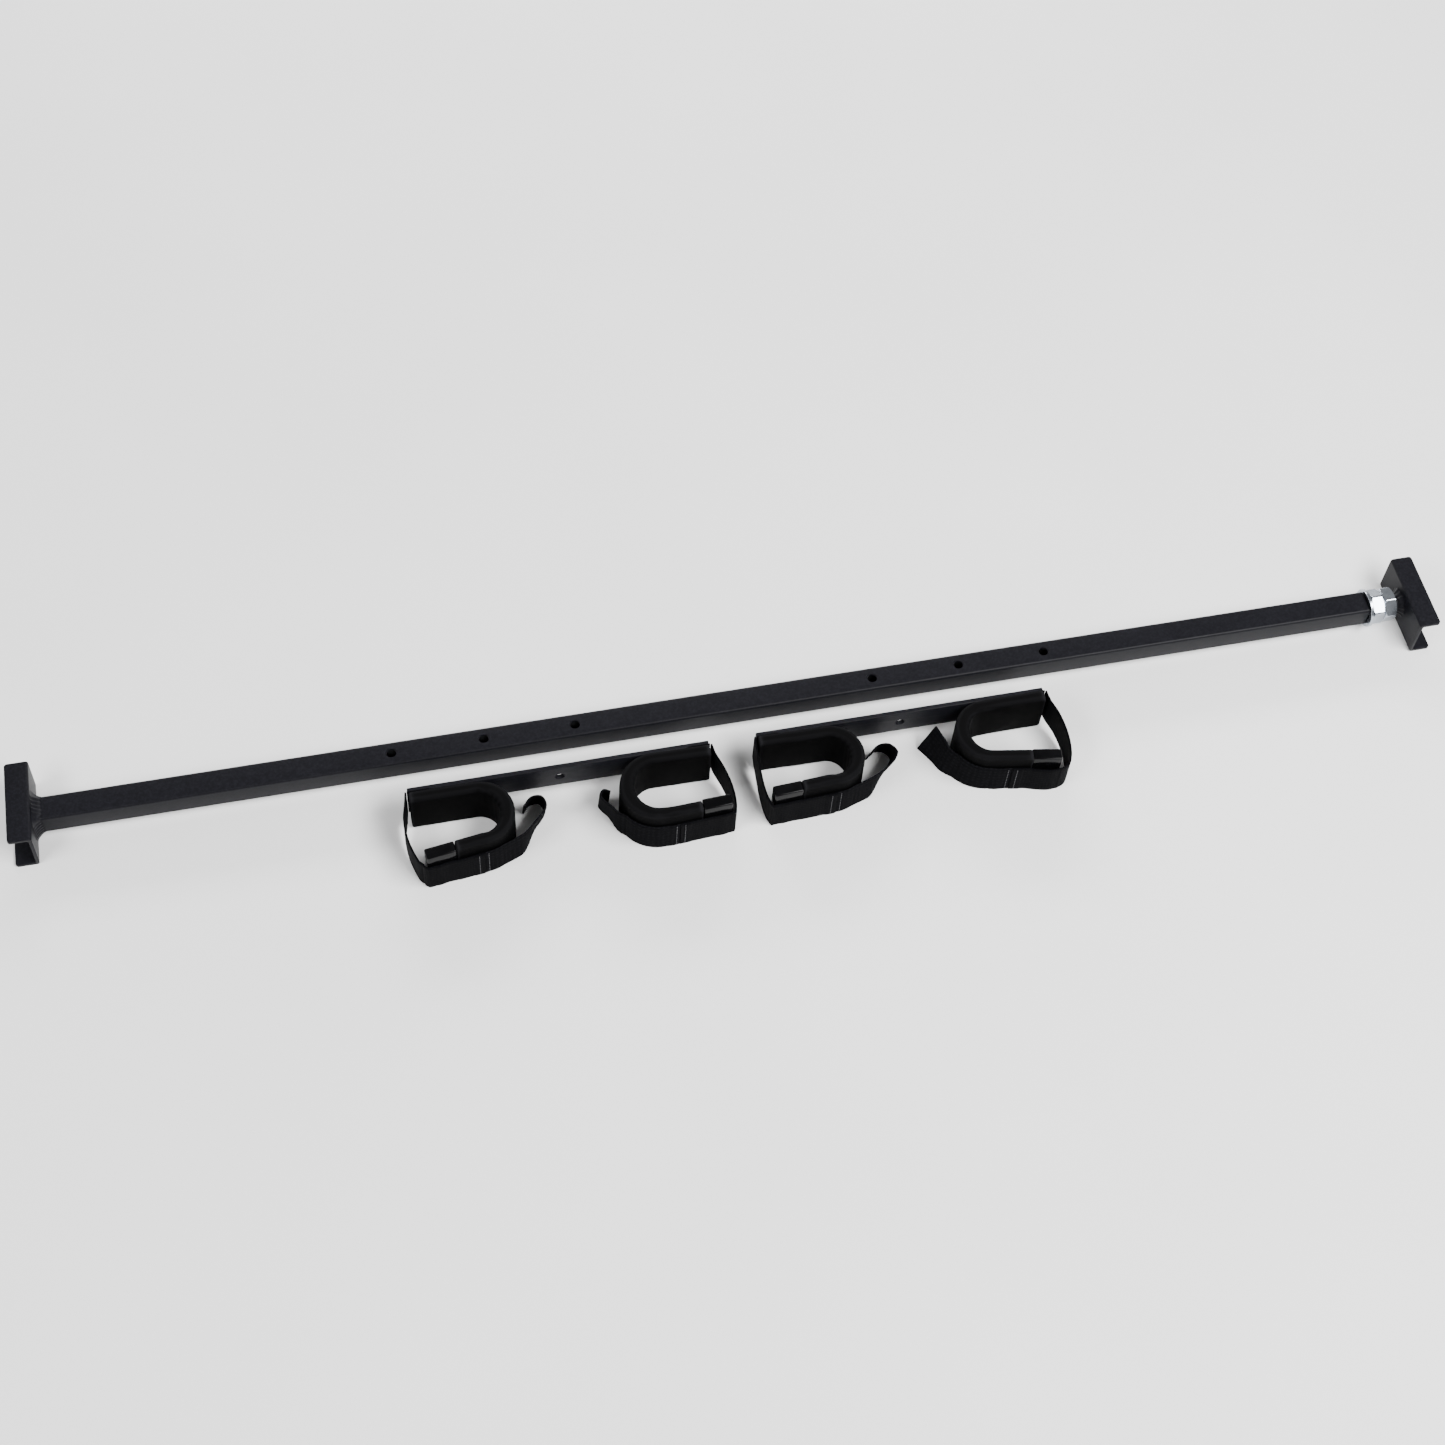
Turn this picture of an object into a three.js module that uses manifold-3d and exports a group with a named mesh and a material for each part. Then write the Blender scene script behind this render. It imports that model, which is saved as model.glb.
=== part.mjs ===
// Adjustable doorway pull-up bar: a square steel tube with a welded end channel and a
// screw-jack end channel, and two flat cuff bars that bolt to it. Every cuff bar carries
// two foam-padded U-shaped hooks, each closed by a webbing strap.
//
// Millimetres, +Z up, +X from the fixed channel to the adjustable channel. The tube lies
// on its channels and the two loose cuff bars lie in front of it (-Y).
import * as THREE from 'three';
import { mergeVertices } from 'three/addons/utils/BufferGeometryUtils.js';
import Module from 'manifold-3d';

const wasm = await Module();
wasm.setup();

// ---------------------------------------------------------------- driving dimensions
const GAP = 0.3; // clearance between pieces that touch
const BAR_SPAN = 1393.8; // from web to web of the two end channels

const CHANNEL = { height: 47.6, depth: 22.2, length: 85.7, wall: 3.2, bend: 3, offCentre: 3.9 };
const TUBE = { size: 25.4, wall: 3.05, corner: 2.6, length: 1353.6 };
const TUBE_HOLES = { radius: 4.8, innerSpacing: 302, pitch: 90, perSide: 3, offset: -27 };
const WELD = { leg: 8.5, corner: 6 };

const ROD = { radius: 9.2, chamfer: 1.5, insideTube: 110 };
const WASHER = { radius: 19.8, bore: 10.4, thickness: 3.4, drop: 0.6 };
const NUT = { acrossFlats: 31.75, thickness: 13.4, bore: 9.6, chamfer: 2.2, jackTurn: 0, jamTurn: 17.5 };
const ROD_WELD = { radius: 14.5, length: 6 };

const FLAT_BAR = { length: 294, height: 31.75, thickness: 4.76, bottom: 17.2, boltHole: 4.8 };
const FLAT_BAR_FRONT = -53.2; // Y of the face that carries the hooks
const FLAT_BAR_CENTRES = { left: -201.8, right: 139.6 };

const STRIP = { height: 44.45, thickness: 4.76, inset: 3 };
const PAD = { height: 54, thickness: 12.4, bulk: 3, slotGap: 0.4 };
const CAP = { length: 29, height: 48.5, thickness: 10.4, overStrip: 25 };
// The head inside the hook is raised; the one at the bar's back is countersunk and a little below flush.
const RIVET = { radius: 3.2, headRadius: 5.6, headHeight: 1.7, sink: 2.4, belowFlush: 0.2 };
const RIVET_PLACES = { end: 11, arm: 38 }; // distances in from the bar's end

const STRAP = { height: 38.1, thickness: 1.8, clearance: 0.9, roundTip: 3, tipRoom: 0.3 };
const STRAP_STATIONS = { along: 190, keepEvery: 4 };
const ANCHOR = { length: 21, bottom: 14, dropBy: 56 }; // the strap sinks to the floor by dropBy
const TAPE = { thickness: 1.5, tiltedBy: 0.7 }; // the share of the loop's reach by which it has tilted

// One entry per cuff. depth: bar end to the outside of the bend. bend: centre-line radius.
// splay: how far the front arm opens, in degrees. tip: where the front arm ends, measured in
// from the bar's end. seam: where the webbing is sewn to the grip tape. mouth: the webbing's
// way across the cuff's mouth, and tail: the free end of the tape beyond the bend, both as
// (along the bar, out from the bar) pairs. capRoom: extra room between the cap and the strap.
// lean: how far along the bar the free end's lower edge stands off its upper edge.
// tilt: how far the loop's lower edge stands nearer the bar than its upper edge.
const CUFFS = {
  left_outer: {
    bar: 'left', side: 1, depth: 98.5, bend: 28.3, splay: 7.5, tip: 8, seam: 62,
    mouth: [[-5.2, 12], [-7, 26], [-6, 44], [-1.2, 62], [3, 71]], capRoom: 0.1,
    tail: [[104, 57], [114, 48], [122.5, 40], [128.5, 30], [125, 20.5], [115.5, 20], [107.5, 28.5]],
    tilt: 13,
  },
  left_inner: {
    bar: 'left', side: -1, depth: 95.5, bend: 30.6, splay: -2.5, tip: -9.5, seam: 42,
    mouth: [[-5, 10], [-10, 26], [-14, 44], [-14.5, 60], [-12, 69]], capRoom: 0.8,
    tail: [[98, 52], [104, 43.5], [110, 36], [112.5, 29], [108.5, 24.5], [102.5, 27.5]],
    tilt: 9,
  },
  right_inner: {
    bar: 'right', side: 1, depth: 101, bend: 27.3, splay: 3, tip: 3.5, seam: 66,
    mouth: [[-2.6, 12], [-3, 26], [-3, 44], [-1.6, 60], [1, 68]], capRoom: 0.4,
    tail: [[108, 57], [120, 50.5], [130, 43], [135, 34], [129, 25], [118.5, 24.5], [110.5, 31]],
    tilt: 14,
  },
  right_outer: {
    bar: 'right', side: -1, depth: 101, bend: 28.3, splay: 10, tip: 3, seam: 51,
    mouth: [[-5, 10], [-10, 26], [-13, 46], [-11, 66], [-4.5, 79]], capRoom: 2.6,
    tail: [[105, 44], [109, 30], [114, 13.5]], lean: 15,
  },
};

const FINISH = {
  powderCoat: { color: 0x1d1d20, roughness: 0.5, metalness: 0.3 },
  zinc: { color: 0xc9ced4, roughness: 0.3, metalness: 1 },
  foam: { color: 0x17171a, roughness: 0.95, metalness: 0 },
  vinyl: { color: 0x111114, roughness: 0.25, metalness: 0 },
  webbing: { color: 0x1e1e20, roughness: 0.85, metalness: 0 },
  gripTape: { color: 0x28282b, roughness: 0.95, metalness: 0 },
};

// ---------------------------------------------------------------- solids and placing
/** A manifold-3d solid from a closed geometry. */
function toSolid(geometry) {
  const bare = geometry.clone();
  bare.deleteAttribute('normal');
  bare.deleteAttribute('uv');
  const merged = mergeVertices(bare, 1e-4);
  return new wasm.Manifold(new wasm.Mesh({
    numProp: 3,
    vertProperties: new Float32Array(merged.attributes.position.array),
    triVerts: new Uint32Array(merged.index.array),
  }));
}

/** A three.js geometry from a manifold-3d solid. */
function toGeometry(solid) {
  const mesh = solid.getMesh();
  const geometry = new THREE.BufferGeometry();
  geometry.setAttribute('position', new THREE.BufferAttribute(mesh.vertProperties, 3));
  geometry.setIndex(new THREE.BufferAttribute(mesh.triVerts, 1));
  geometry.computeVertexNormals();
  return geometry;
}

/** A geometry with the given cutters taken away. */
function cut(geometry, ...cutters) {
  return toGeometry(cutters.reduce((solid, cutter) => solid.subtract(toSolid(cutter)), toSolid(geometry)));
}

/** The common part of two geometries. */
function common(first, second) {
  return toGeometry(toSolid(first).intersect(toSolid(second)));
}

function named(name, geometry, finish) {
  const mesh = new THREE.Mesh(geometry, new THREE.MeshStandardMaterial(finish));
  mesh.name = name;
  return mesh;
}

/** A shape drawn in XY, made solid along +Z. */
function prism(shape, depth, curveSegments = 4) {
  return new THREE.ExtrudeGeometry(shape, { depth, bevelEnabled: false, curveSegments });
}

/** A shape drawn in (Y, Z), made solid from x = start to x = start + length. */
function prismAlongX(shape, start, length) {
  const turn = new THREE.Matrix4().makeBasis(
    new THREE.Vector3(0, 1, 0), new THREE.Vector3(0, 0, 1), new THREE.Vector3(1, 0, 0));
  return prism(shape, length).applyMatrix4(turn).translate(start, 0, 0);
}

/** A shape drawn in (X, Z), made solid over a length centred on y = 0. */
function prismAlongY(shape, length) {
  const turn = new THREE.Matrix4().makeBasis(
    new THREE.Vector3(1, 0, 0), new THREE.Vector3(0, 0, 1), new THREE.Vector3(0, -1, 0));
  return prism(shape, length).applyMatrix4(turn).translate(0, length / 2, 0);
}

function cylinderAlongX(radius, start, length, segments = 24) {
  return new THREE.CylinderGeometry(radius, radius, length, segments)
    .rotateZ(-Math.PI / 2).translate(start + length / 2, 0, 0);
}

function cylinderAlongY(radius, length, segments = 16) {
  return new THREE.CylinderGeometry(radius, radius, length, segments);
}

function cylinderAlongZ(radius, length, segments = 16) {
  return new THREE.CylinderGeometry(radius, radius, length, segments).rotateX(Math.PI / 2);
}

function roundedSquare(size, corner) {
  const h = size / 2;
  const shape = new THREE.Shape();
  shape.moveTo(h - corner, -h);
  shape.absarc(h - corner, -h + corner, corner, -Math.PI / 2, 0);
  shape.absarc(h - corner, h - corner, corner, 0, Math.PI / 2);
  shape.absarc(-h + corner, h - corner, corner, Math.PI / 2, Math.PI);
  shape.absarc(-h + corner, -h + corner, corner, Math.PI, 1.5 * Math.PI);
  return shape;
}

function square(size) {
  const h = size / 2;
  return new THREE.Shape([[-h, -h], [h, -h], [h, h], [-h, h]].map(([x, y]) => new THREE.Vector2(x, y)));
}

/** A closed solid through rings of equally many points, with flat fans at both ends. */
function loft(rings) {
  const count = rings[0].length;
  const positions = rings.flat().flatMap((p) => [p.x, p.y, p.z]);
  const index = [];
  for (let r = 0; r < rings.length - 1; r += 1) {
    for (let i = 0; i < count; i += 1) {
      const a = r * count + i;
      const b = r * count + ((i + 1) % count);
      index.push(a, b, b + count, a, b + count, a + count);
    }
  }
  const last = (rings.length - 1) * count;
  for (let i = 1; i < count - 1; i += 1) {
    index.push(0, i + 1, i);
    index.push(last, last + i, last + i + 1);
  }
  const geometry = new THREE.BufferGeometry();
  geometry.setAttribute('position', new THREE.Float32BufferAttribute(positions, 3));
  geometry.setIndex(index);
  geometry.computeVertexNormals();
  return geometry;
}

/** A geometry mirrored in X, with its faces still pointing out. */
function mirroredX(geometry) {
  const mirror = geometry.index ? geometry.clone() : mergeVertices(geometry);
  mirror.scale(-1, 1, 1);
  const index = mirror.index.array;
  for (let i = 0; i < index.length; i += 3) {
    [index[i + 1], index[i + 2]] = [index[i + 2], index[i + 1]];
  }
  mirror.computeVertexNormals();
  return mirror;
}

// ---------------------------------------------------------------- the main bar
const AXIS_HEIGHT = CHANNEL.height / 2; // the tube is centred on the channels
const LEFT_WEB = -BAR_SPAN / 2;
const RIGHT_WEB = BAR_SPAN / 2;
const TUBE_START = LEFT_WEB + GAP;
const TUBE_END = TUBE_START + TUBE.length;

/** The U section of an end channel: web at x = 0, flanges reaching to x = -depth. */
function channelSection() {
  const { height, depth, wall, bend } = CHANNEL;
  const shape = new THREE.Shape();
  shape.moveTo(-depth, 0);
  shape.lineTo(-bend, 0);
  shape.absarc(-bend, bend, bend, -Math.PI / 2, 0);
  shape.lineTo(0, height - bend);
  shape.absarc(-bend, height - bend, bend, 0, Math.PI / 2);
  shape.lineTo(-depth, height);
  shape.lineTo(-depth, height - wall);
  shape.lineTo(-wall, height - wall);
  shape.lineTo(-wall, wall);
  shape.lineTo(-depth, wall);
  return shape;
}

function tubeHoleCentres() {
  const centres = [];
  for (const side of [-1, 1]) {
    for (let i = 0; i < TUBE_HOLES.perSide; i += 1) {
      centres.push(TUBE_HOLES.offset + side * (TUBE_HOLES.innerSpacing / 2 + i * TUBE_HOLES.pitch));
    }
  }
  return centres;
}

function squareTube() {
  const outside = prismAlongX(roundedSquare(TUBE.size, TUBE.corner), TUBE_START, TUBE.length);
  const inside = prismAlongX(square(TUBE.size - 2 * TUBE.wall), TUBE_START - 1, TUBE.length + 2);
  const holes = tubeHoleCentres().map((x) =>
    cylinderAlongZ(TUBE_HOLES.radius, TUBE.size + 4, 20).translate(x, 0, 0));
  return cut(outside, inside, ...holes);
}

/** The fillet weld that runs round the tube where it meets the fixed channel. */
function tubeWeld() {
  const foot = roundedSquare(TUBE.size + 2 * WELD.leg, WELD.corner);
  const toe = roundedSquare(TUBE.size + 2, TUBE.corner + 1);
  const ring = (shape, x) => shape.getPoints(4).slice(0, -1).map((p) => new THREE.Vector3(x, p.x, p.y));
  const shoulder = roundedSquare(TUBE.size + 1.15 * WELD.leg, WELD.corner);
  const bead = loft([ring(foot, 0), ring(foot, 1.2), ring(shoulder, WELD.leg * 0.45), ring(toe, WELD.leg)]);
  bead.translate(LEFT_WEB + GAP, 0, 0);
  return cut(bead, prismAlongX(square(TUBE.size + 2 * GAP), LEFT_WEB - 5, 30));
}

/** A chamfered hexagon nut with its bore, from x = start. */
function hexNut(start, turnDegrees) {
  const r = NUT.acrossFlats / 2 / Math.cos(Math.PI / 6);
  const hexagon = cylinderAlongX(r, start, NUT.thickness, 6);
  hexagon.rotateX(THREE.MathUtils.degToRad(turnDegrees));
  const crown = new THREE.LatheGeometry([
    new THREE.Vector2(0, 0),
    new THREE.Vector2(r - NUT.chamfer, 0),
    new THREE.Vector2(r + 0.1, NUT.chamfer * 0.6),
    new THREE.Vector2(r + 0.1, NUT.thickness - NUT.chamfer * 0.6),
    new THREE.Vector2(r - NUT.chamfer, NUT.thickness),
    new THREE.Vector2(0, NUT.thickness),
  ], 24).rotateZ(-Math.PI / 2).translate(start, 0, 0);
  return cut(common(hexagon, crown), cylinderAlongX(NUT.bore, start - 1, NUT.thickness + 2, 20));
}

function washer(start) {
  const profile = [
    new THREE.Vector2(WASHER.bore, 0),
    new THREE.Vector2(WASHER.radius, 0),
    new THREE.Vector2(WASHER.radius, WASHER.thickness),
    new THREE.Vector2(WASHER.bore, WASHER.thickness),
    new THREE.Vector2(WASHER.bore, 0),
  ];
  return new THREE.LatheGeometry(profile, 32).rotateZ(-Math.PI / 2).translate(start, 0, -WASHER.drop);
}

/** The threaded rod, plain at its mean diameter, with a chamfered inner end. */
function threadedRod() {
  const start = TUBE_END - ROD.insideTube;
  const length = RIGHT_WEB - GAP - start;
  const profile = [
    new THREE.Vector2(0, 0),
    new THREE.Vector2(ROD.radius - ROD.chamfer, 0),
    new THREE.Vector2(ROD.radius, ROD.chamfer),
    new THREE.Vector2(ROD.radius, length),
    new THREE.Vector2(0, length),
  ];
  return new THREE.LatheGeometry(profile, 24).rotateZ(-Math.PI / 2).translate(start, 0, 0);
}

function rodWeld() {
  const profile = [
    new THREE.Vector2(ROD.radius + GAP, 0),
    new THREE.Vector2(ROD.radius + 1.4, 0),
    new THREE.Vector2(ROD_WELD.radius - 1.5, ROD_WELD.length * 0.6),
    new THREE.Vector2(ROD_WELD.radius, ROD_WELD.length),
    new THREE.Vector2(ROD.radius + GAP, ROD_WELD.length),
    new THREE.Vector2(ROD.radius + GAP, 0),
  ];
  return new THREE.LatheGeometry(profile, 24).rotateZ(-Math.PI / 2)
    .translate(RIGHT_WEB - GAP - ROD_WELD.length, 0, 0);
}

function mainBar() {
  const bar = new THREE.Group();
  const channel = prismAlongY(channelSection(), CHANNEL.length);
  const leftChannel = named('left_channel', channel, FINISH.powderCoat);
  leftChannel.position.set(LEFT_WEB, CHANNEL.offCentre, 0);
  const rightChannel = named('right_channel', mirroredX(channel), FINISH.powderCoat);
  rightChannel.position.set(RIGHT_WEB, -CHANNEL.offCentre, 0);
  bar.add(leftChannel, rightChannel);

  const onAxis = new THREE.Group();
  onAxis.position.z = AXIS_HEIGHT;
  const washerStart = TUBE_END + GAP;
  const jackNutStart = washerStart + WASHER.thickness + GAP;
  const jamNutStart = jackNutStart + NUT.thickness + GAP;
  onAxis.add(
    named('square_tube', squareTube(), FINISH.powderCoat),
    named('tube_weld', tubeWeld(), FINISH.powderCoat),
    named('end_washer', washer(washerStart), FINISH.zinc),
    named('jack_nut', hexNut(jackNutStart, NUT.jackTurn), FINISH.zinc),
    named('jam_nut', hexNut(jamNutStart, NUT.jamTurn), FINISH.zinc),
    named('threaded_rod', threadedRod(), FINISH.powderCoat),
    named('rod_weld', rodWeld(), FINISH.powderCoat),
  );
  bar.add(onAxis);
  return bar;
}

// ---------------------------------------------------------------- the cuff bars
// A cuff is drawn at the origin with the bar's end at u = 0: u runs along the bar towards its
// middle and v runs out from the bar's front face. World X is u and world Y is -v.

/** A station on a hook's centre line: a point, the outward normal, and how bent it is there. */
function station(u, v, nu, nv, bent) {
  return { u, v, nu, nv, bent };
}

/** Where a front arm runs, from the end of the bend (0) to its tip (length). */
function frontArm(cuff) {
  const splay = THREE.MathUtils.degToRad(cuff.splay);
  const straight = cuff.depth - cuff.bend - PAD.thickness / 2;
  const centre = PAD.thickness / 2 + cuff.bend;
  const u = straight + cuff.bend * Math.sin(splay);
  const v = centre + cuff.bend * Math.cos(splay);
  const length = (u - cuff.tip) / Math.cos(splay);
  const at = (s, out = 0) => ({
    u: u - s * Math.cos(splay) + out * Math.sin(splay),
    v: v + s * Math.sin(splay) + out * Math.cos(splay),
  });
  return { splay, straight, centre, length, at };
}

/** Stations along a hook from u = start on the back arm to a point on the front arm. */
function hookStations(cuff, start, armEnd, steps = 16) {
  const arm = frontArm(cuff);
  const stations = [station(start, PAD.thickness / 2, 0, -1, 0)];
  const sweep = Math.PI - arm.splay;
  for (let i = 0; i <= steps; i += 1) {
    const a = -Math.PI / 2 + (sweep * i) / steps;
    const bent = Math.sin((Math.PI * i) / steps);
    stations.push(station(
      arm.straight + cuff.bend * Math.cos(a), arm.centre + cuff.bend * Math.sin(a),
      Math.cos(a), Math.sin(a), bent));
  }
  const end = arm.at(armEnd);
  stations.push(station(end.u, end.v, Math.sin(arm.splay), Math.cos(arm.splay), 0));
  return stations;
}

/** The outline of a hook: outer side one way, inner side back, in (u, v). */
function hookShape(stations, outer, inner, bulk = 0) {
  const outside = stations.map((s) => new THREE.Vector2(s.u + s.nu * outer, s.v + s.nv * outer));
  const inside = stations.map((s) => {
    const offset = inner + bulk * s.bent;
    return new THREE.Vector2(s.u - s.nu * offset, s.v - s.nv * offset);
  });
  return new THREE.Shape([...outside, ...inside.reverse()]);
}

/** A shape drawn in (u, v), made solid from z = bottom upwards. */
function standing(shape, bottom, height) {
  const flipped = new THREE.Shape(shape.getPoints().map((p) => new THREE.Vector2(p.x, -p.y)));
  return prism(flipped, height).translate(0, 0, bottom);
}

function rivetCutter(place, radius, from, to) {
  return cylinderAlongY(radius, to - from).translate(place, -(from + to) / 2, HOOK_MID_HEIGHT);
}

const HOOK_MID_HEIGHT = PAD.height / 2;
const STRIP_INSIDE = PAD.thickness / 2 + STRIP.thickness / 2; // v of the strip's inner face
const CAP_START = CAP.length; // how far the cap reaches back from the tip

function hookStrip(cuff) {
  const arm = frontArm(cuff);
  const half = STRIP.thickness / 2;
  const stations = hookStations(cuff, STRIP.inset, arm.length - (CAP.length - CAP.overStrip));
  const strip = standing(hookShape(stations, half, half), HOOK_MID_HEIGHT - STRIP.height / 2, STRIP.height);
  const holes = Object.values(RIVET_PLACES).map((place) =>
    rivetCutter(place, RIVET.radius + GAP, 0, PAD.thickness));
  return cut(strip, ...holes);
}

/** The foam sleeve: a bent pad with a slot for the strip and pockets for the rivets. */
function foamPad(cuff) {
  const arm = frontArm(cuff);
  const half = PAD.thickness / 2;
  const body = standing(
    hookShape(hookStations(cuff, 0.8, arm.length - CAP_START), half, half, PAD.bulk), 0, PAD.height);
  const slotHalf = STRIP.thickness / 2 + PAD.slotGap;
  const slotHeight = STRIP.height + 2 * PAD.slotGap;
  const slot = standing(
    hookShape(hookStations(cuff, -5, arm.length - CAP_START + 5), slotHalf, slotHalf),
    HOOK_MID_HEIGHT - slotHeight / 2, slotHeight);
  const rivetTop = STRIP_INSIDE + RIVET.headHeight + GAP;
  const pockets = Object.values(RIVET_PLACES).flatMap((place) => [
    rivetCutter(place, RIVET.radius + GAP, -1, PAD.thickness / 2),
    rivetCutter(place, RIVET.headRadius + GAP, PAD.thickness / 2, rivetTop + GAP),
  ]);
  const anchorRoom = new THREE.BoxGeometry(
    2 * (ANCHOR.length + 1), 2 * (STRAP.thickness + GAP), STRAP.height + 2 * GAP)
    .translate(0, 0, ANCHOR.bottom + STRAP.height / 2);
  return cut(body, slot, anchorRoom, ...pockets);
}

/** The moulded cap pushed over the end of the strip. */
function tipCap(cuff) {
  const arm = frontArm(cuff);
  const box = (from, to, half) => new THREE.Shape([
    arm.at(from, half), arm.at(to, half), arm.at(to, -half), arm.at(from, -half),
  ].map((p) => new THREE.Vector2(p.u, p.v)));
  const start = arm.length - CAP.length + GAP;
  const body = standing(box(start, arm.length, CAP.thickness / 2),
    HOOK_MID_HEIGHT - CAP.height / 2, CAP.height);
  const pocketHalf = STRIP.thickness / 2 + GAP;
  const pocketHeight = STRIP.height + 2 * GAP;
  const pocket = standing(box(start - 5, arm.length - CAP.length + CAP.overStrip + GAP, pocketHalf),
    HOOK_MID_HEIGHT - pocketHeight / 2, pocketHeight);
  return cut(body, pocket);
}

/** A rivet through the flat bar and the strip: countersunk in the bar's back, raised inside the hook. */
function rivet(place) {
  const back = RIVET.belowFlush - FLAT_BAR.thickness - GAP;
  const front = STRIP_INSIDE + GAP;
  const profile = [
    new THREE.Vector2(0, 0),
    new THREE.Vector2(RIVET.headRadius - RIVET.belowFlush, 0),
    new THREE.Vector2(RIVET.radius, RIVET.sink - RIVET.belowFlush),
    new THREE.Vector2(RIVET.radius, front - back),
    new THREE.Vector2(RIVET.headRadius, front - back),
    new THREE.Vector2(RIVET.headRadius * 0.7, front - back + RIVET.headHeight),
    new THREE.Vector2(0, front - back + RIVET.headHeight),
  ];
  return new THREE.LatheGeometry(profile, 14).rotateX(Math.PI).translate(place, -back, HOOK_MID_HEIGHT);
}

/**
 * A standing ribbon along (u, v, bottom) points, with its faces half a thickness either side.
 * lower holds how far its lower edge stands off its upper edge at each point, if it does.
 */
function ribbon(points, thickness, height, lower = []) {
  const rings = points.map((p, i) => {
    const { drawn = 0, back = 0 } = lower[i] ?? {};
    const before = points[Math.max(i - 1, 0)];
    const after = points[Math.min(i + 1, points.length - 1)];
    const along = new THREE.Vector2(after.x - before.x, after.y - before.y).normalize();
    const nu = -along.y * thickness / 2;
    const nv = along.x * thickness / 2;
    return [
      new THREE.Vector3(p.x + nu + drawn, back - (p.y + nv), p.z),
      new THREE.Vector3(p.x - nu + drawn, back - (p.y - nv), p.z),
      new THREE.Vector3(p.x - nu, -(p.y - nv), p.z + height),
      new THREE.Vector3(p.x + nu, -(p.y + nv), p.z + height),
    ];
  });
  return loft(rings);
}

/** The strap's centre line, before it is kept clear of the hook: (u, v, bottom) points. */
function strapPoints(cuff) {
  const arm = frontArm(cuff);
  const overPad = PAD.thickness / 2 + STRAP.clearance + STRAP.thickness / 2;
  const overCap = CAP.thickness / 2 + STRAP.clearance + STRAP.thickness / 2;
  const drop = (v) => ANCHOR.bottom * Math.max(0, 1 - v / ANCHOR.dropBy);
  const flat = (p) => new THREE.Vector3(p.u, p.v, 0);
  return [
    new THREE.Vector3(-1.9, 1.2, ANCHOR.bottom),
    ...cuff.mouth.map(([u, v]) => new THREE.Vector3(u, v, drop(v))),
    flat(arm.at(arm.length - 6, overCap + cuff.capRoom)),
    flat(arm.at(arm.length - 20, overCap + cuff.capRoom)),
    flat(arm.at(arm.length - CAP.length - 4, overPad)),
    flat(arm.at(arm.length - CAP.length - 20, overPad)),
    flat(arm.at(2, overPad)),
    ...cuff.tail.map(([u, v]) => new THREE.Vector3(u, v, 0)),
  ];
}

/** Moves a point of the strap's centre line off the hook's cap, arm or bend if it is too near. */
function keptClear(point, cuff) {
  const arm = frontArm(cuff);
  const apart = STRAP.clearance + STRAP.thickness / 2;
  const awayFrom = (u, v, distance) => {
    const reach = Math.hypot(point.x - u, point.y - v);
    const stretch = Math.max(1, distance / reach);
    return new THREE.Vector3(u + (point.x - u) * stretch, v + (point.y - v) * stretch, point.z);
  };
  const start = arm.at(0);
  const [du, dv] = [start.u - point.x, point.y - start.v];
  const along = du * Math.cos(arm.splay) + dv * Math.sin(arm.splay);
  if (along < 0) {
    return awayFrom(arm.straight, arm.centre, cuff.bend + PAD.thickness / 2 + apart);
  }
  const out = dv * Math.cos(arm.splay) - du * Math.sin(arm.splay);
  const half = along < arm.length - CAP.length ? PAD.thickness / 2 : CAP.thickness / 2;
  const room = along < arm.length - 2 * STRAP.roundTip ? apart : apart + STRAP.tipRoom;
  if (along < arm.length && Math.abs(out) < half + room) {
    const clear = arm.at(along, half + room);
    return new THREE.Vector3(clear.u, clear.v, point.z);
  }
  const corner = arm.at(Math.min(along, arm.length), THREE.MathUtils.clamp(out, -half, half));
  return awayFrom(corner.u, corner.v, along < arm.length ? room : STRAP.roundTip);
}

/** Points of the strap's smooth centre line, closer together where it rounds the hook's tip. */
function strapCurve(cuff) {
  const curve = new THREE.CatmullRomCurve3(strapPoints(cuff), false, 'centripetal');
  const arm = frontArm(cuff);
  const tip = arm.at(arm.length);
  return curve.getSpacedPoints(STRAP_STATIONS.along).map((point) => {
    const clear = keptClear(point, cuff);
    return clear.setZ(Math.max(clear.z, 0));
  }).filter((point, i) =>
    i % STRAP_STATIONS.keepEvery === 0 || Math.hypot(point.x - tip.u, point.y - tip.v) < CAP.thickness);
}

/** Index of the point where the strap passes the seam on the front arm. */
function seamIndex(points, cuff) {
  return points.findIndex((p) => p.y > PAD.thickness + cuff.bend && p.x > cuff.seam);
}

/** Webbing from the bar's end to the seam. */
function strapWebbing(cuff) {
  const points = strapCurve(cuff);
  return ribbon(points.slice(0, seamIndex(points, cuff) + 1), STRAP.thickness, STRAP.height);
}

const SEAM_SHARE = 0.09; // how far past the webbing's end, in stations, the tape starts

/** How far the tape's lower edge is drawn along the bar, and back to it, at each point. */
function tapeLean(points, cuff) {
  const { lean = 0, tilt = 0, depth } = cuff;
  const loopEnd = Math.max(...points.map((p) => p.x));
  const tilted = THREE.MathUtils.lerp(depth, loopEnd, TAPE.tiltedBy);
  let reached = 0;
  return points.map((p, i) => {
    reached = Math.max(reached, p.x);
    return {
      drawn: lean * (i / (points.length - 1)) ** 2,
      back: tilt * THREE.MathUtils.smoothstep(reached, depth, tilted),
    };
  });
}

/** Grip tape sewn on at the seam, reaching round the bend to the free end. */
function gripTape(cuff) {
  const points = strapCurve(cuff);
  const seam = seamIndex(points, cuff);
  const start = points[seam].clone().lerp(points[seam + 1], SEAM_SHARE);
  const taped = [start, ...points.slice(seam + 1)];
  return ribbon(taped, TAPE.thickness, STRAP.height, tapeLean(taped, cuff));
}

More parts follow.
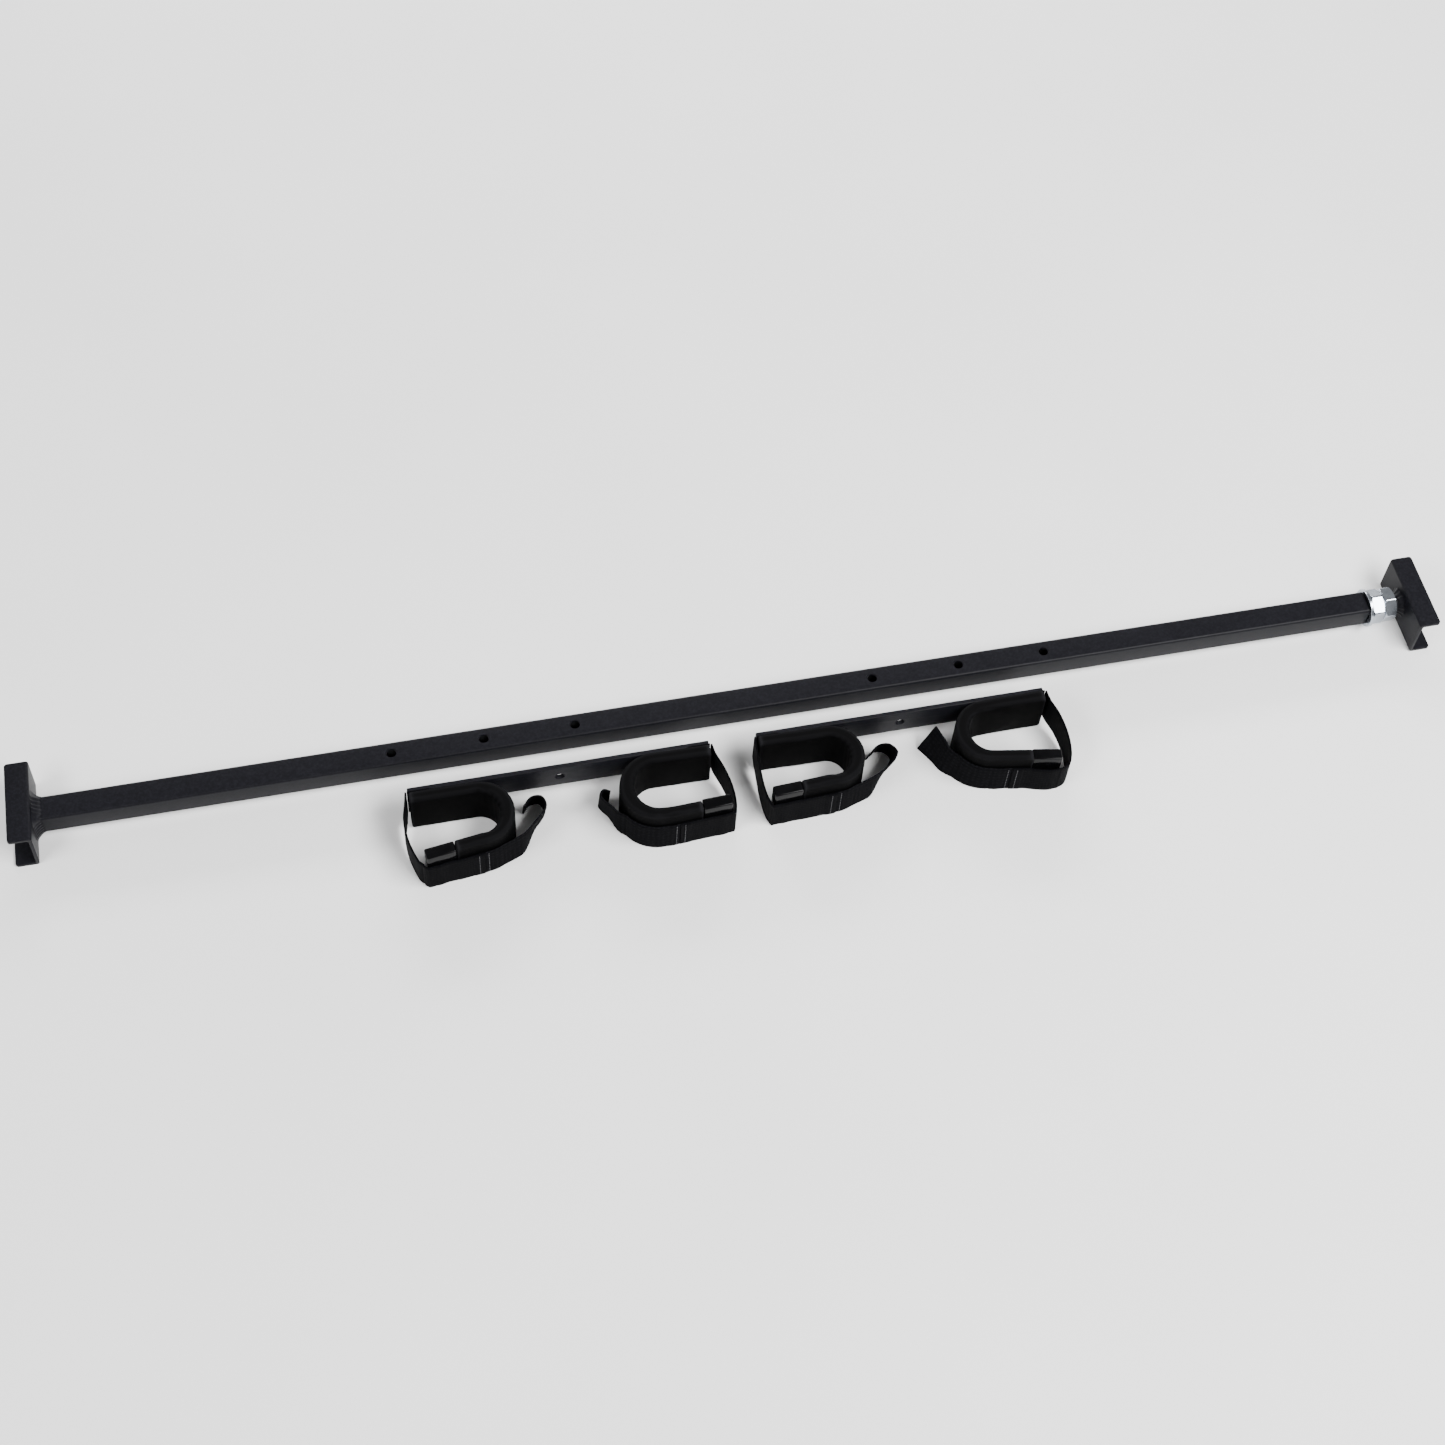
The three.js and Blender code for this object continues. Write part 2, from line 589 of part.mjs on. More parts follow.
/** The short tab that holds the strap to the end of the flat bar. */
function strapAnchor() {
  const end = new THREE.BoxGeometry(ANCHOR.length + 0.6, STRAP.thickness, STRAP.height)
    .translate((ANCHOR.length - 0.6) / 2, -STRAP.thickness / 2, ANCHOR.bottom + STRAP.height / 2);
  return cut(end, rivetCutter(RIVET_PLACES.end, RIVET.radius + GAP, -3, 6));
}

/** What a rivet needs taken out of the flat bar: a hole, countersunk at the back. */
function rivetHole(x) {
  const { thickness } = FLAT_BAR;
  const profile = [
    new THREE.Vector2(0, -1),
    new THREE.Vector2(RIVET.radius + GAP, -1),
    new THREE.Vector2(RIVET.radius + GAP, thickness - RIVET.sink),
    new THREE.Vector2(RIVET.headRadius + GAP, thickness),
    new THREE.Vector2(RIVET.headRadius + GAP, thickness + 1),
    new THREE.Vector2(0, thickness + 1),
  ];
  return new THREE.LatheGeometry(profile, 16).translate(x, FLAT_BAR_FRONT, HOOK_MID_HEIGHT);
}

function flatBar() {
  const { length, height, thickness, bottom, boltHole } = FLAT_BAR;
  const bar = new THREE.BoxGeometry(length, thickness, height)
    .translate(0, FLAT_BAR_FRONT + thickness / 2, bottom + height / 2);
  const bolt = cylinderAlongY(boltHole, 4 * thickness)
    .translate(0, FLAT_BAR_FRONT + thickness / 2, bottom + height / 2);
  const holes = [bolt];
  for (const side of [-1, 1]) {
    for (const place of Object.values(RIVET_PLACES)) {
      holes.push(rivetHole(side * (length / 2 - place)));
    }
  }
  return cut(bar, ...holes);
}

function cuffPieces(name, cuff) {
  const group = new THREE.Group();
  const side = (geometry) => (cuff.side > 0 ? geometry : mirroredX(geometry));
  const add = (part, geometry, finish) => group.add(named(`${name}_${part}`, side(geometry), finish));
  add('hook_strip', hookStrip(cuff), FINISH.powderCoat);
  add('foam_pad', foamPad(cuff), FINISH.foam);
  add('tip_cap', tipCap(cuff), FINISH.vinyl);
  add('end_rivet', rivet(RIVET_PLACES.end), FINISH.zinc);
  add('arm_rivet', rivet(RIVET_PLACES.arm), FINISH.zinc);
  add('strap_anchor', strapAnchor(), FINISH.webbing);
  add('strap_webbing', strapWebbing(cuff), FINISH.webbing);
  add('grip_tape', gripTape(cuff), FINISH.gripTape);
  group.position.set(
    FLAT_BAR_CENTRES[cuff.bar] - (cuff.side * FLAT_BAR.length) / 2, FLAT_BAR_FRONT - GAP, 0);
  return group;
}

function cuffBars() {
  const bars = new THREE.Group();
  for (const [name, centre] of Object.entries(FLAT_BAR_CENTRES)) {
    const bar = named(`${name}_flat_bar`, flatBar(), FINISH.powderCoat);
    bar.position.x = centre;
    bars.add(bar);
  }
  for (const [name, cuff] of Object.entries(CUFFS)) {
    bars.add(cuffPieces(name, cuff));
  }
  return bars;
}

// ---------------------------------------------------------------- the whole object
/** Moves the model so that its origin is at the middle of its footprint, on the floor. */
function centred(model) {
  model.updateMatrixWorld(true);
  const box = new THREE.Box3().setFromObject(model, true);
  const middle = box.getCenter(new THREE.Vector3());
  model.position.set(-middle.x, -middle.y, -box.min.z);
  return model;
}

const pullUpBar = new THREE.Group();
pullUpBar.add(mainBar(), cuffBars());

export default centred(pullUpBar);
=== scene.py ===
"""Finished look of an adjustable pull-up bar with padded, strap-closed cuffs."""

import math

import bmesh
import bpy
from mathutils import Matrix, Vector, noise


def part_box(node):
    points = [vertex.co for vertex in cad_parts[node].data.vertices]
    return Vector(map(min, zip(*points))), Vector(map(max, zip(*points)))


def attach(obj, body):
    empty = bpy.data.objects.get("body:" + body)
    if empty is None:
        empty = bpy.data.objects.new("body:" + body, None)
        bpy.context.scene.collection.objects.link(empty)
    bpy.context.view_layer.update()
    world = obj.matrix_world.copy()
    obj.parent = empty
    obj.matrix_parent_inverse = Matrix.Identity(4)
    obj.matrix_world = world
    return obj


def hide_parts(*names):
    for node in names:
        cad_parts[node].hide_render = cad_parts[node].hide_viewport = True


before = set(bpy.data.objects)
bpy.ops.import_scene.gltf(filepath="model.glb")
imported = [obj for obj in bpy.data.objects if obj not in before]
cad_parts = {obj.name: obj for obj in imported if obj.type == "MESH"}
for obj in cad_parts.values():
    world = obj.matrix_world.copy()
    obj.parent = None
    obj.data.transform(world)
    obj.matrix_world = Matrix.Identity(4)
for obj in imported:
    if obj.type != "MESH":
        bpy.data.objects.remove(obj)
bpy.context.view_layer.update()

bl_info = {
    "name": "Padded Pull-Up Bar",
    "version": (1, 0, 0),
    "blender": (4, 5, 0),
    "location": "3D View > Sidebar > Pull-Up Bar",
    "description": "Builds the steel, foam and webbing of a doorway pull-up bar with padded cuffs",
    "category": "Object",
}

MM = 0.001
# A wave texture's bands repeat at this distance in its own units.
BAND_PERIOD = 2 * math.pi / 20
# Pieces stand this far off the pieces they are fixed to.
GAP = 0.3 * MM
CUFF_NAMES = ("left_outer", "left_inner", "right_inner", "right_outer")

# Steel stock and fasteners.
TUBE_WALL = 3.05 * MM
TUBE_WELD_LEG = 8.3 * MM
CHANNEL_WALL = 3.2 * MM
BOLT_HOLE_RADIUS = 4.8 * MM
HOLES_CENTRE = -27 * MM
FIRST_HOLE = 151 * MM
HOLE_PITCH = 90 * MM
ROD_RADIUS = 9.5 * MM
THREAD_DEPTH = 1.0 * MM
ROD_WELD_LEGS = (5.6 * MM, 6.0 * MM)
NUT_APOTHEM = 15.875 * MM
NUT_BORE = 9.75 * MM
WASHER_BORE = 10.4 * MM
# Degrees from +Y to a corner of each nut.
JACK_NUT_TURNED = 90
JAM_NUT_TURNED = 107.5
RIVET_SIZES = {"Head": 5.4 * MM, "Sink": 2.2 * MM, "Shank": 3.2 * MM, "Length": 14.0 * MM}
RIVET_CLEARANCE = 0.3 * MM

# Sizes of the hooks and straps, in millimetres, in each cuff's own plan: u runs along the flat
# bar from its end towards its middle, v runs out from the bar's front face.
PAD_THICKNESS = 12.4
PAD_BULK = 3.0
PAD_HEIGHT = 54.0
FOLD_DEPTH = 0.3
FOLD_PITCH = 8.5
CAP_LENGTH = 29.0
CAP_HEIGHT = 48.5
CAP_THICKNESS = 10.4
CAP_BULK = 1.4
STRAP_HEIGHT = 38.1
STRAP_HALF = 0.9
TAPE_HALF = 0.75
ANCHOR_HALF = 0.85
STRAP_CLEARANCE = 0.9
HEM_RISE = 0.5
HEM_LENGTH = 11.0
ANCHOR_BOTTOM = 14.0
ANCHOR_LENGTH = 21.0
ANCHOR_OUT = 0.9
STRAP_DROPS_BY = 56.0
RIVET_PLACES = (11.0, 38.0)
# side: 1 where the hook's root is at the bar's low end, and -1 at its high end.
# depth: reach of the bend from the bar's end. bend: radius of the bend's centre line.
# splay: degrees by which the front arm opens. tip: u of the arm's tip. seam: u of the strap's seam.
# room: extra space between cap and strap. mouth and tail: the strap's line across the cuff's mouth
# and beyond the bend. drawn and tilt: how far the tape's free end is pulled along and leans back.
CUFFS = {
    "left_outer": dict(
        bar="left", side=1, depth=98.5, bend=28.3, splay=7.5, tip=8, seam=62, room=0.1,
        mouth=[(-3.9, 12), (-6.8, 26), (-6, 44), (-1.2, 62), (3, 71)],
        tail=[(104, 57), (114, 48), (122.5, 40), (128.5, 30), (125, 20.5), (115.5, 20), (107.5, 28.5)],
        drawn=0, tilt=13,
    ),
    "left_inner": dict(
        bar="left", side=-1, depth=95.5, bend=30.6, splay=-2.5, tip=-9.5, seam=42, room=0.8,
        mouth=[(-3.7, 10), (-9.7, 26), (-14, 44), (-14.5, 60), (-12, 69)],
        tail=[(98, 52), (104, 43.5), (110, 36), (112.5, 29), (108.5, 24.5), (102.5, 27.5)],
        drawn=0, tilt=9,
    ),
    "right_inner": dict(
        bar="right", side=1, depth=101, bend=27.3, splay=3, tip=3.5, seam=66, room=0.4,
        mouth=[(-2.6, 12), (-3, 26), (-3, 44), (-1.6, 60), (1, 68)],
        tail=[(108, 57), (120, 50.5), (130, 43), (135, 34), (129, 25), (118.5, 24.5), (110.5, 31)],
        drawn=0, tilt=14,
    ),
    "right_outer": dict(
        bar="right", side=-1, depth=101, bend=28.3, splay=10, tip=3, seam=51, room=2.6,
        mouth=[(-3.7, 10), (-9.7, 26), (-13, 46), (-11, 66), (-4.5, 79)],
        tail=[(105, 44), (109, 30), (114, 13.5)],
        drawn=15, tilt=0,
    ),
}


# ------------------------------------------------------------------ settings
class SteelSettings(bpy.types.PropertyGroup):
    coat_colour: bpy.props.StringProperty(
        name="Powder coat", description="sRGB hex colour of the coated steel", default="#111115")
    zinc_colour: bpy.props.StringProperty(
        name="Zinc plate", description="sRGB hex colour of the plated nuts and washer", default="#B0B6BE")
    edge_round: bpy.props.FloatProperty(
        name="Edge rounding", description="Radius worn and coated onto sheared steel edges",
        default=0.6 * MM, unit="LENGTH")
    tube_corner: bpy.props.FloatProperty(
        name="Tube corner", description="Outside corner radius of the square tube",
        default=2.6 * MM, unit="LENGTH")
    thread_pitch: bpy.props.FloatProperty(
        name="Thread pitch", description="Distance from one thread of the rod to the next",
        default=2.54 * MM, unit="LENGTH")
    weld_ripple: bpy.props.FloatProperty(
        name="Weld ripple", description="Length of one ripple of the weld beads",
        default=4.2 * MM, unit="LENGTH")


class CuffSettings(bpy.types.PropertyGroup):
    foam_colour: bpy.props.StringProperty(
        name="Foam", description="sRGB hex colour of the foam sleeves", default="#070708")
    vinyl_colour: bpy.props.StringProperty(
        name="Vinyl", description="sRGB hex colour of the dipped tip caps", default="#060607")
    webbing_colour: bpy.props.StringProperty(
        name="Webbing", description="sRGB hex colour of the nylon webbing", default="#070709")
    tape_colour: bpy.props.StringProperty(
        name="Grip tape", description="sRGB hex colour of the hook-and-loop tape", default="#0D0D0F")
    thread_colour: bpy.props.StringProperty(
        name="Sewing thread", description="sRGB hex colour of the stitches", default="#323236")
    foam_corner: bpy.props.FloatProperty(
        name="Foam corner", description="Rounding of the foam sleeve's long edges",
        default=4.0 * MM, unit="LENGTH")
    foam_swell: bpy.props.FloatProperty(
        name="Foam swell", description="Most that the foam may swell in the simulation",
        default=0.7 * MM, unit="LENGTH")
    cap_corner: bpy.props.FloatProperty(
        name="Cap corner", description="Rounding of the vinyl caps", default=1.5 * MM, unit="LENGTH")
    stitch_pitch: bpy.props.FloatProperty(
        name="Stitch pitch", description="Distance from one stitch to the next",
        default=3.2 * MM, unit="LENGTH")
    rib_pitch: bpy.props.FloatProperty(
        name="Tape rib pitch", description="Distance between the cross ribs of the grip tape",
        default=3.6 * MM, unit="LENGTH")


class StageSettings(bpy.types.PropertyGroup):
    floor_colour: bpy.props.StringProperty(
        name="Floor", description="sRGB hex colour of the floor", default="#F0F0F0")
    key_power: bpy.props.FloatProperty(
        name="Key light", description="Power of the large overhead softbox", default=240, unit="POWER")
    fill_power: bpy.props.FloatProperty(
        name="Fill light", description="Power of the left and rear softboxes", default=85, unit="POWER")


# ------------------------------------------------------------------ materials
def linear(colour):
    """RGBA in linear light from an sRGB hex colour."""
    channels = [int(colour[i:i + 2], 16) / 255 for i in (1, 3, 5)]
    return [c / 12.92 if c <= 0.04045 else ((c + 0.055) / 1.055) ** 2.4 for c in channels] + [1.0]


def shaded(colour, factor):
    """The linear colour made lighter or darker."""
    return [min(c * factor, 1.0) for c in linear(colour)[:3]] + [1.0]


def feed(tree, node, sockets):
    """Sets a node's inputs to values, to outputs, or to the first output in use of other nodes."""
    for key, value in sockets.items():
        if isinstance(value, bpy.types.Node):
            value = next(output for output in value.outputs if output.enabled)
        if isinstance(value, bpy.types.NodeSocket):
            tree.links.new(value, node.inputs[key])
        else:
            node.inputs[key].default_value = value


def add(tree, kind, sockets=None, **settings):
    """Adds a node with its settings and inputs."""
    node = tree.nodes.new(kind)
    for key, value in settings.items():
        setattr(node, key, value)
    feed(tree, node, sockets or {})
    return node


def started(name):
    """A new material, its node tree and its Principled shader."""
    material = bpy.data.materials.new(name)
    material.use_nodes = True
    tree = material.node_tree
    return material, tree, tree.nodes["Principled BSDF"]


def ramped(tree, factor, low, high, start=0.35, end=0.65):
    """A colour that goes from low to high as factor goes from start to end."""
    share = add(tree, "ShaderNodeMapRange", {"Value": factor, "From Min": start, "From Max": end})
    return add(tree, "ShaderNodeMix", {0: share, 6: low, 7: high}, data_type="RGBA")


def powder_coat(colour, name="satin black powder coat", texture=1.0):
    """Baked polyester powder on steel: a satin skin with fine orange peel and pale specks."""
    material, tree, shader = started(name)
    place = add(tree, "ShaderNodeTexCoord").outputs["Object"]
    # Specks in the powder are near 0.3 mm across; they are drawn at 2.2 mm so that they show.
    specks = add(tree, "ShaderNodeTexNoise",
                 {"Vector": place, "Scale": 1 / (2.2 * MM), "Detail": 3.0, "Roughness": 0.75})
    base = ramped(tree, specks, shaded(colour, 0.72), shaded(colour, 1.75), 0.42, 0.68)
    # The coat is a little paler and darker in patches near 60 mm across.
    drift = add(tree, "ShaderNodeTexNoise", {"Vector": place, "Scale": 1 / (60 * MM), "Detail": 2.0})
    worn = ramped(tree, drift, shaded(colour, 0.85), shaded(colour, 1.2))
    # Orange peel of the baked powder, about 1.4 mm from hill to hill.
    peel = add(tree, "ShaderNodeTexNoise", {"Vector": place, "Scale": 1 / (1.4 * MM), "Detail": 2.0})
    feed(tree, shader, {
        "Base Color": add(tree, "ShaderNodeMix", {0: 0.3, 6: base, 7: worn}, data_type="RGBA"),
        "Roughness": add(tree, "ShaderNodeMapRange", {"Value": specks, "To Min": 0.34, "To Max": 0.5}),
        "Normal": add(tree, "ShaderNodeBump",
                      {"Height": peel, "Strength": 0.22 * texture, "Distance": 0.2 * MM}),
        "Specular IOR Level": 0.16,
        "IOR": 1.36,
    })
    return material


def zinc_plate(colour):
    """Bright electroplated zinc: a cool mirror broken by fine machining marks and cloudy passivate."""
    material, tree, shader = started("bright zinc plated steel")
    place = add(tree, "ShaderNodeTexCoord").outputs["Object"]
    cloud = add(tree, "ShaderNodeTexNoise", {"Vector": place, "Scale": 1 / (9 * MM), "Detail": 2.0})
    # Turning marks are near 0.15 mm apart; they are drawn at 1.78 mm so that they show.
    marks = add(tree, "ShaderNodeTexWave",
                {"Vector": place, "Scale": BAND_PERIOD / (1.78 * MM), "Distortion": 1.5},
                wave_type="BANDS", bands_direction="X").outputs["Fac"]
    feed(tree, shader, {
        "Base Color": ramped(tree, cloud, shaded(colour, 0.88), shaded(colour, 1.0), 0.3, 0.7),
        "Roughness": add(tree, "ShaderNodeMapRange", {"Value": cloud, "To Min": 0.16, "To Max": 0.26}),
        "Normal": add(tree, "ShaderNodeBump", {"Height": marks, "Strength": 0.04, "Distance": 0.05 * MM}),
        "Metallic": 1.0,
    })
    return material


def foam_rubber(colour):
    """Closed-cell neoprene foam: dead matt, with a fine cellular skin and a painted highlight on its edges.
    """
    material, tree, shader = started("closed cell neoprene foam")
    place = add(tree, "ShaderNodeTexCoord").outputs["Object"]
    # Cells are about 0.4 mm; they are drawn at 1.1 mm so that they show.
    cells = add(tree, "ShaderNodeTexVoronoi", {"Vector": place, "Scale": 1 / (1.1 * MM)})
    rub = add(tree, "ShaderNodeTexNoise", {"Vector": place, "Scale": 1 / (18 * MM), "Detail": 5.0})
    edge = add(tree, "ShaderNodeNewGeometry").outputs["Pointiness"]
    body = ramped(tree, rub, shaded(colour, 0.6), shaded(colour, 1.0))
    # Painted highlight: where pointiness rises on convex edges, the foam goes up to seven times lighter,
    # standing in for light caught on its rounded edges.
    painted_edge_highlight = ramped(tree, edge, shaded(colour, 0.6), shaded(colour, 7.0), 0.505, 0.535)
    feed(tree, shader, {
        "Base Color": add(tree, "ShaderNodeMix", {0: 0.5, 6: body, 7: painted_edge_highlight}, data_type="RGBA"),
        "Roughness": add(tree, "ShaderNodeMapRange", {"Value": rub, "To Min": 0.72, "To Max": 0.9}),
        "Normal": add(tree, "ShaderNodeBump", {"Height": cells, "Strength": 0.25, "Distance": 0.2 * MM}),
        "Specular IOR Level": 0.04,
    })
    return material


def dipped_vinyl(colour):
    """Plastisol dip: thick, wet-looking black vinyl that pools slightly, so its gloss waves."""
    material, tree, shader = started("dipped vinyl")
    place = add(tree, "ShaderNodeTexCoord").outputs["Object"]
    pool = add(tree, "ShaderNodeTexNoise", {"Vector": place, "Scale": 1 / (14 * MM), "Detail": 2.0})
    feed(tree, shader, {
        "Base Color": ramped(tree, pool, shaded(colour, 0.8), shaded(colour, 1.4)),
        "Roughness": add(tree, "ShaderNodeMapRange", {"Value": pool, "To Min": 0.1, "To Max": 0.18}),
        "Normal": add(tree, "ShaderNodeBump", {"Height": pool, "Strength": 0.15, "Distance": 1.0 * MM}),
        "Specular IOR Level": 0.25,
        "IOR": 1.3,
    })
    return material


def woven(name, colour, warp, weft, strength, roughness):
    """Narrow woven fabric: matt, with warp cords along it and weft picks across it."""
    material, tree, shader = started(name)
    across = add(tree, "ShaderNodeUVMap", uv_map="weave").outputs["UV"]
    cords = add(tree, "ShaderNodeTexWave",
                {"Vector": across, "Scale": BAND_PERIOD / warp, "Distortion": 0.4},
                wave_type="BANDS", bands_direction="Y").outputs["Fac"]
    picks = add(tree, "ShaderNodeTexWave",
                {"Vector": across, "Scale": BAND_PERIOD / weft, "Distortion": 0.6},
                wave_type="BANDS", bands_direction="X").outputs["Fac"]
    weave = add(tree, "ShaderNodeMath", {0: cords, 1: picks}, operation="MULTIPLY")
    fuzz = add(tree, "ShaderNodeTexNoise", {"Vector": across, "Scale": 1 / (5 * MM), "Detail": 6.0})
    yarn = ramped(tree, weave, shaded(colour, 0.55), shaded(colour, 1.35), 0.1, 0.8)
    worn = ramped(tree, fuzz, shaded(colour, 0.85), shaded(colour, 1.5))
    feed(tree, shader, {
        "Base Color": add(tree, "ShaderNodeMix", {0: 0.4, 6: yarn, 7: worn}, data_type="RGBA"),
        "Roughness": add(tree, "ShaderNodeMapRange",
                         {"Value": fuzz, "To Min": roughness - 0.08, "To Max": roughness + 0.06}),
        "Normal": add(tree, "ShaderNodeBump",
                      {"Height": weave, "Strength": strength, "Distance": 0.3 * MM}),
        "Specular IOR Level": 0.03,
        "IOR": 1.3,
    })
    return material


def sewing_thread(colour):
    """Bonded nylon sewing thread: smooth, slightly waxy strands."""
    material, tree, shader = started("bonded nylon thread")
    place = add(tree, "ShaderNodeTexCoord").outputs["Object"]
    twist = add(tree, "ShaderNodeTexNoise", {"Vector": place, "Scale": 1 / (1.0 * MM)})
    feed(tree, shader, {
        "Base Color": ramped(tree, twist, shaded(colour, 0.7), shaded(colour, 1.3)),
        "Roughness": 0.5,
    })
    return material


def studio_paper(colour):
    """Seamless backdrop paper: pale and matt."""
    material, tree, shader = started("seamless studio paper")
    place = add(tree, "ShaderNodeTexCoord").outputs["Object"]
    grain = add(tree, "ShaderNodeTexNoise", {"Vector": place, "Scale": 3.0})
    feed(tree, shader, {
        "Base Color": ramped(tree, grain, shaded(colour, 0.97), shaded(colour, 1.0)),
        "Roughness": 0.95,
        "Specular IOR Level": 0.1,
    })
    return material


def finish_named(name):
    """The object's shared materials, made once."""
    steel = bpy.context.scene.pull_up_steel
    cuff = bpy.context.scene.pull_up_cuff
    makers = {
        "satin black powder coat": lambda: powder_coat(steel.coat_colour),
        "coated weld bead": lambda: powder_coat(steel.coat_colour, "coated weld bead", 2.5),
        "bright zinc plated steel": lambda: zinc_plate(steel.zinc_colour),
        "closed cell neoprene foam": lambda: foam_rubber(cuff.foam_colour),
        "dipped vinyl": lambda: dipped_vinyl(cuff.vinyl_colour),
        # Cords of heavy webbing lie 0.9 mm apart and its picks 1.3 mm apart; drawn coarser to show.
        "nylon webbing": lambda: woven(
            "nylon webbing", cuff.webbing_colour, 3.55 * MM, 2.96 * MM, 0.35, 0.6),
        # The tape's loops stand in rows about 1 mm apart; drawn coarser to show.
        "hook and loop tape": lambda: woven(
            "hook and loop tape", cuff.tape_colour, 5.13 * MM, 4.73 * MM, 0.5, 0.8),
        "bonded nylon thread": lambda: sewing_thread(cuff.thread_colour),
    }
    return bpy.data.materials.get(name) or makers[name]()


# ------------------------------------------------------------------ mesh work
def piece(name, mesh, material):
    """A new object for a finished mesh, at the origin."""
    obj = bpy.data.objects.new(name, mesh)
    bpy.context.scene.collection.objects.link(obj)
    if not mesh.materials:
        mesh.materials.append(finish_named(material))
    return obj


def settled(obj, body, slot, *nodes):
    """The piece rides on its body and stands for its CAD nodes, which are hidden; slot is not used."""
    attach(obj, body)
    if nodes:
        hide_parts(*nodes)
    return obj


def smoothed(mesh, degrees=35):
    """Smooth shading, with creases where faces meet at more than this angle."""
    mesh.shade_smooth()
    mesh.set_sharp_from_angle(angle=math.radians(degrees))
    return mesh


def ring_mesh(name, rings, closed=False):
    """A mesh through rings of equally many points: a torus if closed, or with a face at both ends."""
    build = bmesh.new()
    rows = [[build.verts.new(p) for p in ring] for ring in rings]
    count = len(rows[0])
    pairs = list(zip(rows, rows[1:] + rows[:1])) if closed else list(zip(rows, rows[1:]))
    for a, b in pairs:
        for i in range(count):
            j = (i + 1) % count
            build.faces.new((a[i], a[j], b[j], b[i]))
    if not closed:
        build.faces.new(list(reversed(rows[0])))
        build.faces.new(rows[-1])
    bmesh.ops.recalc_face_normals(build, faces=build.faces)
    mesh = bpy.data.meshes.new(name)
    build.to_mesh(mesh)
    build.free()
    return mesh


def box_mesh(name, low, high):
    """A plain box between two corners."""
    rings = [[(x, low[1], low[2]), (x, high[1], low[2]), (x, high[1], high[2]), (x, low[1], high[2])]
             for x in (low[0], high[0])]
    return ring_mesh(name, rings)


def evaluated(obj):
    """The object's mesh with its modifiers applied, in place of its own; the modifiers are removed."""
    bpy.context.view_layer.update()
    graph = bpy.context.evaluated_depsgraph_get()
    mesh = bpy.data.meshes.new_from_object(obj.evaluated_get(graph))
    if not mesh.polygons:
        raise RuntimeError(obj.name + " came out empty")
    obj.modifiers.clear()
    obj.data = mesh
    return obj


def bevelled(obj, width, segments, degrees):
    """The object with its edges rounded where its faces meet at more than this angle."""
    modifier = obj.modifiers.new("edges", "BEVEL")
    modifier.width = width
    modifier.segments = segments
    modifier.limit_method = "ANGLE"
    modifier.angle_limit = math.radians(degrees)
    return evaluated(obj)


def drilled(obj, cutters):
    """The object with other meshes cut out of it."""
    for cutter in cutters:
        modifier = obj.modifiers.new("hole", "BOOLEAN")
        modifier.object = cutter
        modifier.operation = "DIFFERENCE"
        modifier.solver = "EXACT"
    evaluated(obj)
    for cutter in cutters:
        bpy.data.objects.remove(cutter)
    return obj


def round_cutter(centre, axis, profile, sides=48):
    """A round solid to cut with, along Y or Z, through (distance along the axis, radius) pairs."""
    rings = []
    for along, radius in profile:
        ring = []
        for i in range(sides):
            a = 2 * math.pi * i / sides
            c, s = radius * math.cos(a), radius * math.sin(a)
            ring.append(centre + (Vector((c, along, s)) if axis == "Y" else Vector((c, s, along))))
        rings.append(ring)
    cutter = bpy.data.objects.new("cutter", ring_mesh("cutter", rings))
    bpy.context.scene.collection.objects.link(cutter)
    return cutter


def arc(cx, cy, radius, start, end, steps=6):
    """Points on an arc, angles in degrees."""
    return [(cx + radius * math.cos(math.radians(start + (end - start) * i / steps)),
             cy + radius * math.sin(math.radians(start + (end - start) * i / steps)))
            for i in range(steps + 1)]


def rounded_square(half, corner, steps=7):
    """Points round a square about the origin with rounded corners."""
    h = half - corner
    return (arc(h, h, corner, 0, 90, steps) + arc(-h, h, corner, 90, 180, steps)
            + arc(-h, -h, corner, 180, 270, steps) + arc(h, -h, corner, 270, 360, steps))


def middle(node):
    """Centre of a CAD node's box."""
    low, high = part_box(node)
    return (low + high) / 2


# ------------------------------------------------------------------ cuff geometry
class Arm:
    """The straight front arm of a hook, from the end of its bend to its tip, in millimetres."""

    def __init__(self, cuff):
        self.splay = math.radians(cuff["splay"])
        self.bend = cuff["bend"]
        self.straight = cuff["depth"] - cuff["bend"] - PAD_THICKNESS / 2
        self.centre = PAD_THICKNESS / 2 + cuff["bend"]
        self.u = self.straight + self.bend * math.sin(self.splay)
        self.v = self.centre + self.bend * math.cos(self.splay)
        self.length = (self.u - cuff["tip"]) / math.cos(self.splay)

    def at(self, s, out=0.0):
        """(u, v) at a distance s along the arm towards its tip, and out from its centre line."""
        sin, cos = math.sin(self.splay), math.cos(self.splay)
        return (self.u - s * cos + out * sin, self.v + s * sin + out * cos)


def placer(cuff):
    """A function that turns a cuff's (u, v, z) in millimetres into a point of the row frame."""
    low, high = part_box(cuff["bar"] + "_flat_bar")
    end = low.x if cuff["side"] > 0 else high.x
    front = low.y - GAP
    return lambda u, v, z: Vector((end + cuff["side"] * u * MM, front - v * MM, z * MM))


